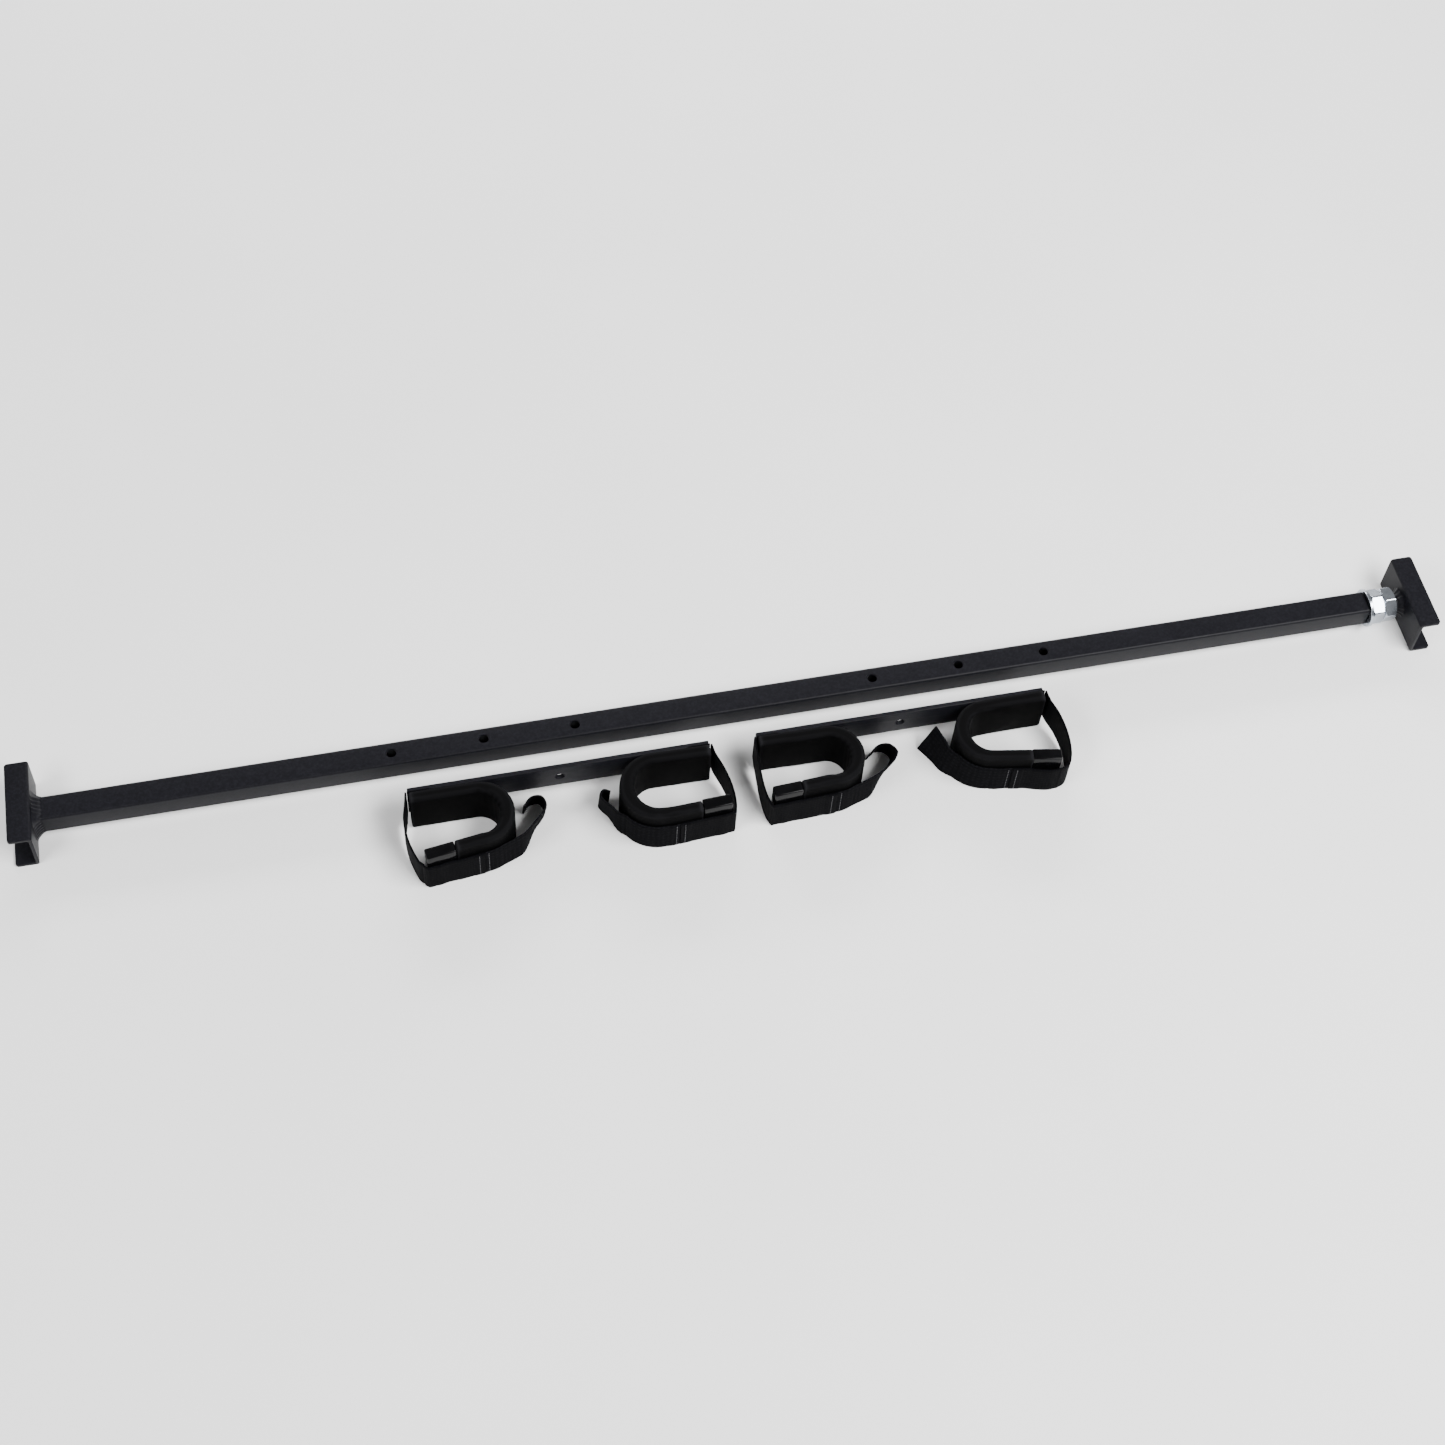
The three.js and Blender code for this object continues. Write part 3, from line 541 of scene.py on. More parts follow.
def hook_path(cuff, start, arm_end, step=4.0):
    """Stations (u, v, outward u, outward v, bend) along a hook's centre line."""
    arm = Arm(cuff)
    stations = []
    count = max(2, round((arm.straight - start) / step))
    for i in range(count):
        stations.append((start + (arm.straight - start) * i / count, PAD_THICKNESS / 2, 0.0, -1.0, 0.0))
    sweep = math.pi - arm.splay
    count = round(sweep * arm.bend / (0.75 * step))
    for i in range(count):
        a = -math.pi / 2 + sweep * i / count
        stations.append((arm.straight + arm.bend * math.cos(a), arm.centre + arm.bend * math.sin(a),
                         math.cos(a), math.sin(a), math.sin(math.pi * i / count) ** 1.5))
    count = max(2, round(arm_end / step))
    for i in range(count + 1):
        u, v = arm.at(arm_end * i / count)
        stations.append((u, v, math.sin(arm.splay), math.cos(arm.splay), 0.0))
    return stations


def smooth_curve(points, count):
    """Evenly spaced points on a centripetal Catmull-Rom curve."""
    points = [Vector(p) for p in points]
    ends = [2 * points[0] - points[1]] + points + [2 * points[-1] - points[-2]]
    dense = []
    for p0, p1, p2, p3 in zip(ends, ends[1:], ends[2:], ends[3:]):
        t1 = (p1 - p0).length ** 0.5
        t2 = t1 + (p2 - p1).length ** 0.5
        t3 = t2 + (p3 - p2).length ** 0.5
        for i in range(24):
            t = t1 + (t2 - t1) * i / 24
            a1 = p0.lerp(p1, t / t1)
            a2 = p1.lerp(p2, (t - t1) / (t2 - t1))
            a3 = p2.lerp(p3, (t - t2) / (t3 - t2))
            b1 = a1.lerp(a2, t / t2)
            b2 = a2.lerp(a3, (t - t1) / (t3 - t1))
            dense.append(b1.lerp(b2, (t - t1) / (t2 - t1)))
    dense.append(points[-1])
    return resampled(dense, count)


def resampled(points, count):
    """Points at equal steps along a polyline."""
    total = sum((b - a).length for a, b in zip(points, points[1:]))
    result, walked, wanted = [points[0].copy()], 0.0, total / count
    for a, b in zip(points, points[1:]):
        length = (b - a).length
        while wanted <= walked + length + 1e-9 and len(result) < count:
            result.append(a.lerp(b, (wanted - walked) / length))
            wanted += total / count
        walked += length
    result.append(points[-1].copy())
    return result


def kept_clear(point, arm):
    """Moves a point of the strap's centre line off the hook if it is too near."""
    apart = STRAP_CLEARANCE + STRAP_HALF
    near_tip = 6
    round_tip = 3.0

    def away_from(u, v, distance):
        """The point, pushed out to at least this distance from (u, v)."""
        reach = math.hypot(point.x - u, point.y - v)
        stretch = max(1.0, distance / reach)
        return Vector((u + (point.x - u) * stretch, v + (point.y - v) * stretch, point.z))

    du, dv = arm.u - point.x, point.y - arm.v
    along = du * math.cos(arm.splay) + dv * math.sin(arm.splay)
    if along < 0:
        return away_from(arm.straight, arm.centre, arm.bend + PAD_THICKNESS / 2 + apart)
    out = dv * math.cos(arm.splay) - du * math.sin(arm.splay)
    half = (PAD_THICKNESS if along < arm.length - CAP_LENGTH else CAP_THICKNESS) / 2
    room = apart if along < arm.length - near_tip else apart + 0.3
    if along < arm.length and abs(out) < half + room:
        u, v = arm.at(along, half + room)
        return Vector((u, v, point.z))
    u, v = arm.at(min(along, arm.length), max(-half, min(half, out)))
    return away_from(u, v, room if along < arm.length else round_tip)


def strap_line(cuff):
    """The strap's centre line as (u, v, bottom) points, and the index of the seam."""
    arm = Arm(cuff)
    apart = STRAP_CLEARANCE + STRAP_HALF
    over_pad = PAD_THICKNESS / 2 + apart
    over_cap = CAP_THICKNESS / 2 + apart + cuff["room"]
    points = [(-1.9, 1.2, ANCHOR_BOTTOM)]
    points += [(u, v, ANCHOR_BOTTOM * max(0.0, 1 - v / STRAP_DROPS_BY)) for u, v in cuff["mouth"]]
    cap_start = arm.length - CAP_LENGTH
    along_arm = ((arm.length - 6, over_cap), (arm.length - 20, over_cap),
                 (cap_start - 4, over_pad), (cap_start - 20, over_pad), (2, over_pad))
    points += [(*arm.at(s, off), 0.0) for s, off in along_arm]
    points += [(u, v, 0.0) for u, v in cuff["tail"]]
    line = [kept_clear(p, arm) for p in smooth_curve(points, 240)]
    for p in line:
        p.z = max(p.z, 0.0)
    seam = next(i for i, p in enumerate(line) if p.y > PAD_THICKNESS + arm.bend and p.x > cuff["seam"])
    return line, seam


def strap_section(half, height, columns=12):
    """(out, up) points round a webbing's section, its edges softly rounded."""
    soft = min(half * 1.4, 1.2)
    face = [(half, height * i / columns) for i in range(1, columns)]
    upper = [(half * 0.92, height - soft * 0.35), (half * 0.5, height), (-half * 0.5, height),
             (-half * 0.92, height - soft * 0.35)]
    lower = [(-half * 0.92, soft * 0.35), (-half * 0.5, 0.0), (half * 0.5, 0.0), (half * 0.92, soft * 0.35)]
    back = [(-half, height * i / columns) for i in range(columns - 1, 0, -1)]
    return face + upper + back + lower


def ribbon(name, line, place, half, cuff=None, ribs=0.0, hem=0.0):
    """A standing ribbon with its weave laid out in metres on the UV map named weave.

    With a cuff, its lower edge is drawn along and tilts back as the free end of that cuff's tape.
    """
    section = strap_section(half, STRAP_HEIGHT)
    last = len(line) - 1
    hem_start = length_of(line) - HEM_LENGTH
    loop_end = max(p.x for p in line)
    rings, lengths = [], []
    walked = reached = 0.0
    for i, p in enumerate(line):
        before, after = line[max(i - 1, 0)], line[min(i + 1, last)]
        along = Vector((after.x - before.x, after.y - before.y)).normalized()
        walked += math.hypot(p.x - before.x, p.y - before.y)
        lengths.append(walked)
        t = i / last
        reached = max(reached, p.x)
        pulled = back = 0.0
        if cuff:
            pulled = cuff["drawn"] * t * t
            back = cuff["tilt"] * eased((reached - cuff["depth"]) / (0.7 * (loop_end - cuff["depth"])))
        ring = []
        for out, up in section:
            low = 1 - up / STRAP_HEIGHT
            proud = out
            if ribs and abs(out) > half / 2:
                proud += math.copysign(rib_height(walked, up, ribs) * min(1.0, 6 * t), out)
            elif hem and out * hem > 0:
                proud += hem * HEM_RISE * eased((walked - hem_start) / 1.5)
            u = p.x - along.y * proud + pulled * low
            v = p.y + along.x * proud - back * low
            ring.append(place(u, v, p.z + up))
        rings.append(ring)
    mesh = smoothed(ring_mesh(name, rings), 60)
    lay_weave(mesh, section, lengths)
    return mesh


def length_of(line):
    """Length of a strap's line in plan."""
    return sum(math.hypot(b.x - a.x, b.y - a.y) for a, b in zip(line, line[1:]))


def eased(t):
    """A smooth step from 0 at t = 0 to 1 at t = 1."""
    t = max(0.0, min(1.0, t))
    return t * t * (3 - 2 * t)


def rib_height(walked, up, pitch):
    """Uneven cross ribs of pressed grip tape, in millimetres."""
    wander = noise.noise(Vector((walked * 0.06, up * 0.03, 1.7)))
    ridge = math.sin(2 * math.pi * (walked / pitch + 0.9 * wander))
    return 0.22 * ridge * (0.55 + 0.45 * wander) + 0.25 * wander


def lay_weave(mesh, section, lengths):
    """UVs: distance along the strap, and height on it, both in metres."""
    layer = mesh.uv_layers.new(name="weave")
    count = len(section)
    for loop in mesh.loops:
        ring, column = divmod(loop.vertex_index, count)
        layer.data[loop.index].uv = (lengths[ring] * MM, section[column][1] * MM)


# ------------------------------------------------------------------ geometry node trees
def node_group(name, sizes):
    """A geometry tree with a mesh input and one named length input for each size."""
    tree = bpy.data.node_groups.new(name, "GeometryNodeTree")
    tree.interface.new_socket(name="Geometry", in_out="INPUT", socket_type="NodeSocketGeometry")
    for label, value in sizes.items():
        socket = tree.interface.new_socket(name=label, in_out="INPUT", socket_type="NodeSocketFloat")
        socket.default_value = value
        socket.subtype = "DISTANCE"
    tree.interface.new_socket(name="Geometry", in_out="OUTPUT", socket_type="NodeSocketGeometry")
    given = tree.nodes.new("NodeGroupInput")
    return tree, given


def ended(tree, geometry, material):
    """Ends a tree in Realize Instances and Set Material."""
    real = add(tree, "GeometryNodeRealizeInstances", {"Geometry": geometry})
    coated = add(tree, "GeometryNodeSetMaterial", {"Geometry": real, "Material": finish_named(material)})
    add(tree, "NodeGroupOutput", {"Geometry": coated})
    return tree


def raised(tree, mesh, height, share):
    """The mesh shifted along Z by a share of a length."""
    shift = add(tree, "ShaderNodeMath", {0: height, 1: share}, operation="MULTIPLY")
    upwards = add(tree, "ShaderNodeCombineXYZ", {"Z": shift})
    return add(tree, "GeometryNodeTransform", {"Geometry": mesh, "Translation": upwards})


def placed_at_points(tree, given, shape):
    """One copy of the shape at each point of the tree's input."""
    points = add(tree, "GeometryNodeMeshToPoints", {"Mesh": given.outputs["Geometry"]})
    return add(tree, "GeometryNodeInstanceOnPoints", {"Points": points, "Instance": shape})


def grown(name, mesh, tree, sizes):
    """The plain mesh that a geometry tree makes from a mesh, as a new object."""
    obj = bpy.data.objects.new(name, mesh)
    bpy.context.scene.collection.objects.link(obj)
    modifier = obj.modifiers.new(tree.name, "NODES")
    modifier.node_group = tree
    for item in tree.interface.items_tree:
        if item.in_out == "INPUT" and item.name in sizes:
            modifier[item.identifier] = sizes[item.name]
    return evaluated(obj)


def stitch_tree(sizes):
    """Stitches along the input's edges: short capsules laid end to end with gaps."""
    tree, given = node_group("stitch rows", sizes)
    thread = given.outputs["Thread"]
    line = add(tree, "GeometryNodeMeshToCurve", {"Mesh": given.outputs["Geometry"]})
    points = add(tree, "GeometryNodeCurveToPoints",
                 {"Curve": line, "Length": given.outputs["Pitch"]}, mode="LENGTH")
    ball = add(tree, "GeometryNodeMeshUVSphere", {"Segments": 8, "Rings": 6, "Radius": 0.5})
    size = add(tree, "ShaderNodeCombineXYZ", {"X": thread, "Y": thread, "Z": given.outputs["Stitch"]})
    laid = add(tree, "GeometryNodeInstanceOnPoints",
               {"Points": points, "Instance": ball, "Rotation": points.outputs["Rotation"],
                "Scale": size})
    return ended(tree, laid, "bonded nylon thread")


def rivet_tree():
    """A rivet along Y at each point of the input, its countersunk head facing +Y at the point."""
    tree, given = node_group("bar rivets", RIVET_SIZES)
    sink = given.outputs["Sink"]
    shank = given.outputs["Shank"]
    head = add(tree, "GeometryNodeMeshCone",
               {"Vertices": 40, "Radius Top": given.outputs["Head"], "Radius Bottom": shank,
                "Depth": sink})
    below = add(tree, "ShaderNodeMath", {0: given.outputs["Length"], 1: sink}, operation="SUBTRACT")
    body = add(tree, "GeometryNodeMeshCylinder", {"Vertices": 40, "Radius": shank, "Depth": below})
    whole = add(tree, "GeometryNodeJoinGeometry", {"Geometry": head})
    feed(tree, whole, {"Geometry": raised(tree, body, below, -0.5)})
    flush = raised(tree, whole, sink, -1.0)
    turned = add(tree, "GeometryNodeTransform", {"Geometry": flush, "Rotation": (-math.pi / 2, 0, 0)})
    return ended(tree, placed_at_points(tree, given, turned), "bright zinc plated steel")


def thread_tree(turns, sizes):
    """A screw thread wound on a core along +X from the input's first point."""
    tree, given = node_group("screw thread", sizes)
    depth = given.outputs["Depth"]
    length = given.outputs["Length"]
    root = add(tree, "ShaderNodeMath", {0: given.outputs["Major radius"], 1: depth},
               operation="SUBTRACT")
    helix = add(tree, "GeometryNodeCurveSpiral",
                {"Resolution": 28, "Rotations": turns, "Start Radius": root, "End Radius": root,
                 "Height": length})
    ridge = add(tree, "GeometryNodeCurvePrimitiveCircle", {"Resolution": 4, "Radius": depth})
    wound = add(tree, "GeometryNodeCurveToMesh",
                {"Curve": helix, "Profile Curve": ridge, "Fill Caps": True})
    core = add(tree, "GeometryNodeMeshCylinder", {"Vertices": 48, "Radius": root, "Depth": length})
    whole = add(tree, "GeometryNodeJoinGeometry", {"Geometry": wound})
    feed(tree, whole, {"Geometry": raised(tree, core, length, 0.5)})
    turned = add(tree, "GeometryNodeTransform", {"Geometry": whole, "Rotation": (0, math.pi / 2, 0)})
    return ended(tree, placed_at_points(tree, given, turned), "satin black powder coat")


def point_mesh(name, points, edges=()):
    """Loose points, or edges between them, for a geometry tree to build on."""
    mesh = bpy.data.meshes.new(name)
    mesh.from_pydata([tuple(p) for p in points], list(edges), [])
    return mesh


# ------------------------------------------------------------------ steel pieces
def square_tube_piece(steel):
    """The open square tube with its bolt holes through both walls."""
    low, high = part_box("square_tube")
    cy, cz = (low.y + high.y) / 2, (low.z + high.z) / 2
    half = (high.y - low.y) / 2
    chamfer = 0.5 * MM
    outside = rounded_square(half, steel.tube_corner)
    rim = rounded_square(half - chamfer, steel.tube_corner)
    inside = rounded_square(half - TUBE_WALL, 1.0 * MM)
    stations = [(low.x, inside), (low.x, rim), (low.x + chamfer, outside),
                (high.x - chamfer, outside), (high.x, rim), (high.x, inside)]
    rings = [[Vector((x, cy + y, cz + z)) for y, z in shape] for x, shape in stations]
    mesh = ring_mesh("tube_with_holes", rings, closed=True)
    obj = piece("tube_with_holes", mesh, "satin black powder coat")
    centres = [HOLES_CENTRE + side * (FIRST_HOLE + HOLE_PITCH * i) for side in (-1, 1) for i in range(3)]
    through = [(-2 * half, BOLT_HOLE_RADIUS), (2 * half, BOLT_HOLE_RADIUS)]
    drilled(obj, [round_cutter(Vector((x, cy, cz)), "Z", through) for x in centres])
    smoothed(obj.data, 30)
    return settled(obj, "main_bar", "powder_coat", "square_tube")


def bead_piece(name, path, face, direction, legs, ripple, lumps=0.14):
    """A fillet weld round a closed path of (y, z, outward y, outward z) points on a face at x."""
    steps = 9
    rings = []
    walked = 0.0
    for i, (y, z, ny, nz) in enumerate(path):
        if i:
            walked += math.hypot(y - path[i - 1][0], z - path[i - 1][1])
        lump = lumps * noise.noise(Vector((y, z, 3.0)) * 110)
        wave = 1 + 0.09 * math.cos(2 * math.pi * walked / ripple) + lump
        ring = [Vector((face, y + ny * GAP, z + nz * GAP))]
        for k in range(steps + 1):
            a = math.pi / 2 * k / steps
            out = GAP + max(legs[0] * wave * (1 - math.sin(a) ** 1.5), 0.2 * MM)
            along = legs[1] * wave * (1 - math.cos(a) ** 1.5)
            ring.append(Vector((face + direction * along, y + ny * out, z + nz * out)))
        rings.append(ring)
    return piece(name, smoothed(ring_mesh(name, rings, closed=True), 60), "coated weld bead")


def square_path(cy, cz, half, corner, spacing):
    """Evenly spaced points round a rounded square, with their outward directions."""
    flat = half - corner
    path = []
    for quarter in range(4):
        turn = Matrix.Rotation(quarter * math.pi / 2, 2)
        side = round(2 * flat / spacing)
        for i in range(side):
            p = turn @ Vector((half, -flat + 2 * flat * i / side))
            n = turn @ Vector((1.0, 0.0))
            path.append((cy + p.x, cz + p.y, n.x, n.y))
        for i in range(8):
            a = math.pi / 2 * i / 8
            n = turn @ Vector((math.cos(a), math.sin(a)))
            c = turn @ Vector((flat, flat))
            path.append((cy + c.x + corner * n.x, cz + c.y + corner * n.y, n.x, n.y))
    return path


def round_path(cy, cz, radius, count=120):
    """Evenly spaced points round a circle, with their outward directions."""
    angles = [2 * math.pi * i / count for i in range(count)]
    return [(cy + radius * math.cos(a), cz + radius * math.sin(a), math.cos(a), math.sin(a)) for a in angles]


def channel_piece(name, side, steel):
    """An end channel with rolled outside bends, filleted inside corners and rounded flange corners."""
    low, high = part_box(name)
    bend, fillet, corner = 3.0 * MM, 2.2 * MM, 3.0 * MM
    depth, height = high.x - low.x, high.z - low.z
    inner = CHANNEL_WALL + fillet
    shape = [(depth, 0.0)] + arc(bend, bend, bend, 270, 180) + arc(bend, height - bend, bend, 180, 90)
    shape += [(depth, height), (depth, height - CHANNEL_WALL)]
    shape += arc(inner, height - inner, fillet, 90, 180) + arc(inner, inner, fillet, 180, 270)
    shape += [(depth, CHANNEL_WALL)]
    web = high.x if side < 0 else low.x
    cuts = [(low.y + y, depth - corner + reach) for y, reach in arc(corner, 0, corner, 180, 90, 5)]
    profile = cuts + [(low.y + high.y - y, reach) for y, reach in reversed(cuts)]
    rings = [[Vector((web + side * min(x, reach), y, z)) for x, z in shape] for y, reach in profile]
    obj = piece(name + "_saddle", ring_mesh(name, rings), "satin black powder coat")
    bevelled(obj, steel.edge_round, 3, 50)
    smoothed(obj.data, 30)
    return obj


def hex_radius(angle, apothem):
    """Radius of a slightly worn hexagon at an angle from one of its corners."""
    wrapped = (angle % (math.pi / 3)) - math.pi / 6
    return min(apothem / math.cos(wrapped), apothem / math.cos(math.pi / 6) - 0.3 * MM)


def nut_piece(name, node, corner_degrees):
    """A hexagon nut on the rod's axis, its faces crowned by a chamfer at 60 degrees to that axis."""
    low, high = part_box(node)
    rod = middle("threaded_rod")
    thick = high.x - low.x
    lead_in = 0.8 * MM
    crown = [x * MM for x in (0.0, 0.25, 0.5, 0.75, 1.0, 1.3, 1.6, 2.0)]
    levels = [(lead_in, NUT_BORE), (0.0, NUT_BORE + lead_in)]
    levels += [(x, None) for x in crown] + [(thick - x, None) for x in reversed(crown)]
    levels += [(thick, NUT_BORE + lead_in), (thick - lead_in, NUT_BORE)]
    sides = 144
    rings = []
    for x, bore in levels:
        ring = []
        chamfer = NUT_APOTHEM * 0.965 + 1.73 * min(x, thick - x)
        for i in range(sides):
            a = 2 * math.pi * i / sides
            r = bore or min(hex_radius(a, NUT_APOTHEM), chamfer)
            turned = a + math.radians(corner_degrees)
            ring.append(Vector((low.x + x, rod.y + r * math.cos(turned), rod.z + r * math.sin(turned))))
        rings.append(ring)
    mesh = smoothed(ring_mesh(name, rings, closed=True), 24)
    return piece(name, mesh, "bright zinc plated steel")


def washer_piece():
    """A flat washer with rounded rims."""
    low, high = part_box("end_washer")
    centre = (low + high) / 2
    outer, soft, sides = (high.z - low.z) / 2, 0.5 * MM, 96
    profile = [(low.x, WASHER_BORE + soft), (low.x, outer - soft),
               (low.x + soft * 0.4, outer - soft * 0.3), (low.x + soft, outer),
               (high.x - soft, outer), (high.x - soft * 0.4, outer - soft * 0.3),
               (high.x, outer - soft), (high.x, WASHER_BORE + soft),
               (high.x - soft, WASHER_BORE), (low.x + soft, WASHER_BORE)]
    turns = [2 * math.pi * i / sides for i in range(sides)]
    rings = [[Vector((x, centre.y + r * math.cos(a), centre.z + r * math.sin(a))) for a in turns]
             for x, r in profile]
    mesh = smoothed(ring_mesh("zinc_washer", rings, closed=True), 24)
    return piece("zinc_washer", mesh, "bright zinc plated steel")


def flat_bar_piece(name, steel):
    """A flat bar with its bolt hole in the middle and countersunk rivet holes near its ends."""
    low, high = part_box(name)
    centre = (low + high) / 2
    half = high.y - centre.y
    past = 2 * half
    obj = piece(name + "_steel", box_mesh(name, low, high), "satin black powder coat")
    cutters = [round_cutter(centre, "Y", [(-past, BOLT_HOLE_RADIUS), (past, BOLT_HOLE_RADIUS)])]
    shank = RIVET_SIZES["Shank"] + RIVET_CLEARANCE
    head = RIVET_SIZES["Head"] + RIVET_CLEARANCE
    countersunk = [(-past, shank), (half - RIVET_SIZES["Sink"], shank), (half, head), (past, head)]
    for end, inwards in ((low.x, 1), (high.x, -1)):
        for place in RIVET_PLACES:
            spot = Vector((end + inwards * place * MM, centre.y, PAD_HEIGHT / 2 * MM))
            cutters.append(round_cutter(spot, "Y", countersunk, 40))
    bevelled(obj, steel.edge_round * 1.3, 3, 50)
    drilled(obj, cutters)
    smoothed(obj.data, 30)
    return settled(obj, name.replace("flat", "cuff"), "powder_coat", name)


# ------------------------------------------------------------------ soft pieces
def pad_section(half, height, corner):
    """(out, up) points round the foam sleeve's section."""
    corners = ((half - corner, corner, 270), (half - corner, height - corner, 0),
               (corner - half, height - corner, 90), (corner - half, corner, 180))
    points = []
    for out, up, start in corners:
        points += arc(out, up, corner, start, start + 90, 5)
    spacing = 4.5
    full = []
    for (out, up), (next_out, next_up) in zip(points, points[1:] + points[:1]):
        parts = max(1, round(math.hypot(next_out - out, next_up - up) / spacing))
        full += [(out + (next_out - out) * i / parts, up + (next_up - up) * i / parts)
                 for i in range(parts)]
    return full


def pad_mesh(name, cuff, settings):
    """A bent foam sleeve, a little under size, with folds pressed into the inside of its bend."""
    arm = Arm(cuff)
    place = placer(cuff)
    stations = hook_path(cuff, 0.9, arm.length - CAP_LENGTH - 0.2)
    shrink = settings.foam_swell / MM * 0.5
    corner = settings.foam_corner / MM
    section = pad_section(PAD_THICKNESS / 2 - shrink, PAD_HEIGHT - shrink, corner)
    rings = []
    walked = 0.0
    for i, (u, v, nu, nv, bent) in enumerate(stations):
        if i:
            walked += math.hypot(u - stations[i - 1][0], v - stations[i - 1][1])
        ring = []
        for out, up in section:
            inside = max(0.0, -out / PAD_THICKNESS * 2)
            fold = FOLD_DEPTH * bent * inside * math.sin(2 * math.pi * walked / FOLD_PITCH + 0.05 * up)
            offset = out - PAD_BULK * bent * inside + fold
            ring.append(place(u + nu * offset, v + nv * offset, up + shrink * 0.25))
        rings.append(ring)
    rings = [pinched(rings[0], rings[1])] + rings + [pinched(rings[-1], rings[-2])]
    return ring_mesh(name, rings)


def pinched(ring, neighbour):
    """An end ring drawn in a little, so that a cut end reads as soft."""
    centre = sum(ring, Vector()) / len(ring)
    outward = (centre - sum(neighbour, Vector()) / len(neighbour)).normalized()
    return [p + (centre - p) * 0.1 + outward * 0.5 * MM for p in ring]


def under_pressure(obj):
    """Where the object's points come to rest as a stiff cloth blown up from inside."""
    last_frame = 20
    modifier = obj.modifiers.new("swell", "CLOTH")
    cloth = modifier.settings
    cloth.use_pressure = True
    cloth.uniform_pressure_force = 4.0
    cloth.quality = 5
    cloth.tension_stiffness = 25
    cloth.compression_stiffness = 25
    cloth.bending_stiffness = 4
    cloth.effector_weights.gravity = 0.0
    modifier.collision_settings.use_collision = False
    modifier.point_cache.frame_start = 1
    modifier.point_cache.frame_end = last_frame
    scene = bpy.context.scene
    for step in range(1, last_frame + 1):
        scene.frame_set(step)
    graph = bpy.context.evaluated_depsgraph_get()
    points = [v.co.copy() for v in obj.evaluated_get(graph).data.vertices]
    obj.modifiers.clear()
    scene.frame_set(1)
    return points


def swollen(obj, cap):
    """Lets the piece swell as a simulated cloth under light pressure, moving no point more than cap."""
    simulated = under_pressure(obj)
    for vertex, new in zip(obj.data.vertices, simulated):
        shift = new - vertex.co
        if shift.length > cap:
            shift *= cap / shift.length
        vertex.co += shift
        vertex.co.z = max(vertex.co.z, 0.05 * MM)
    modifier = obj.modifiers.new("round", "SUBSURF")
    modifier.levels = 1
    modifier.render_levels = 1
    return evaluated(obj)


def cap_mesh(cuff):
    """A square-cornered block over the arm's tip, thicker on its inner side."""
    arm = Arm(cuff)
    place = placer(cuff)
    outer = CAP_THICKNESS / 2
    inner = -outer - CAP_BULK
    low = (PAD_HEIGHT - CAP_HEIGHT) / 2
    high = low + CAP_HEIGHT
    corners = ((outer, low), (outer, high), (inner, high), (inner, low))
    ends = (arm.length - CAP_LENGTH + 0.3, arm.length)
    return ring_mesh("cap", [[place(*arm.at(s, out), z) for out, z in corners] for s in ends])


def seam_rows(cuff, line, seam, place):
    """Two stitch rows up and down the seam, lying on the strap's outer face, and their edges."""
    points, edges = [], []
    margin = 3.0
    for steps, proud in ((-5, STRAP_HALF + HEM_RISE), (4, TAPE_HALF + 0.1)):
        index = seam + steps
        p, q = line[index - 1], line[index + 1]
        along = Vector((q.x - p.x, q.y - p.y)).normalized()
        reach = proud * outward_sign(line, seam, cuff)
        u, v = line[index].x + along.y * reach, line[index].y - along.x * reach
        first = len(points)
        points += [place(u, v, margin), place(u, v, STRAP_HEIGHT - margin)]
        edges.append((first, first + 1))
    return points, edges


def outward_sign(line, index, cuff):
    """Which way (1 or -1) along (dy, -dx) points away from the hook at a station."""
    arm = Arm(cuff)
    p, q = line[index - 1], line[index + 1]
    along = Vector((q.x - p.x, q.y - p.y)).normalized()
    away = Vector((math.sin(arm.splay), math.cos(arm.splay)))
    return 1 if Vector((along.y, -along.x)).dot(away) > 0 else -1


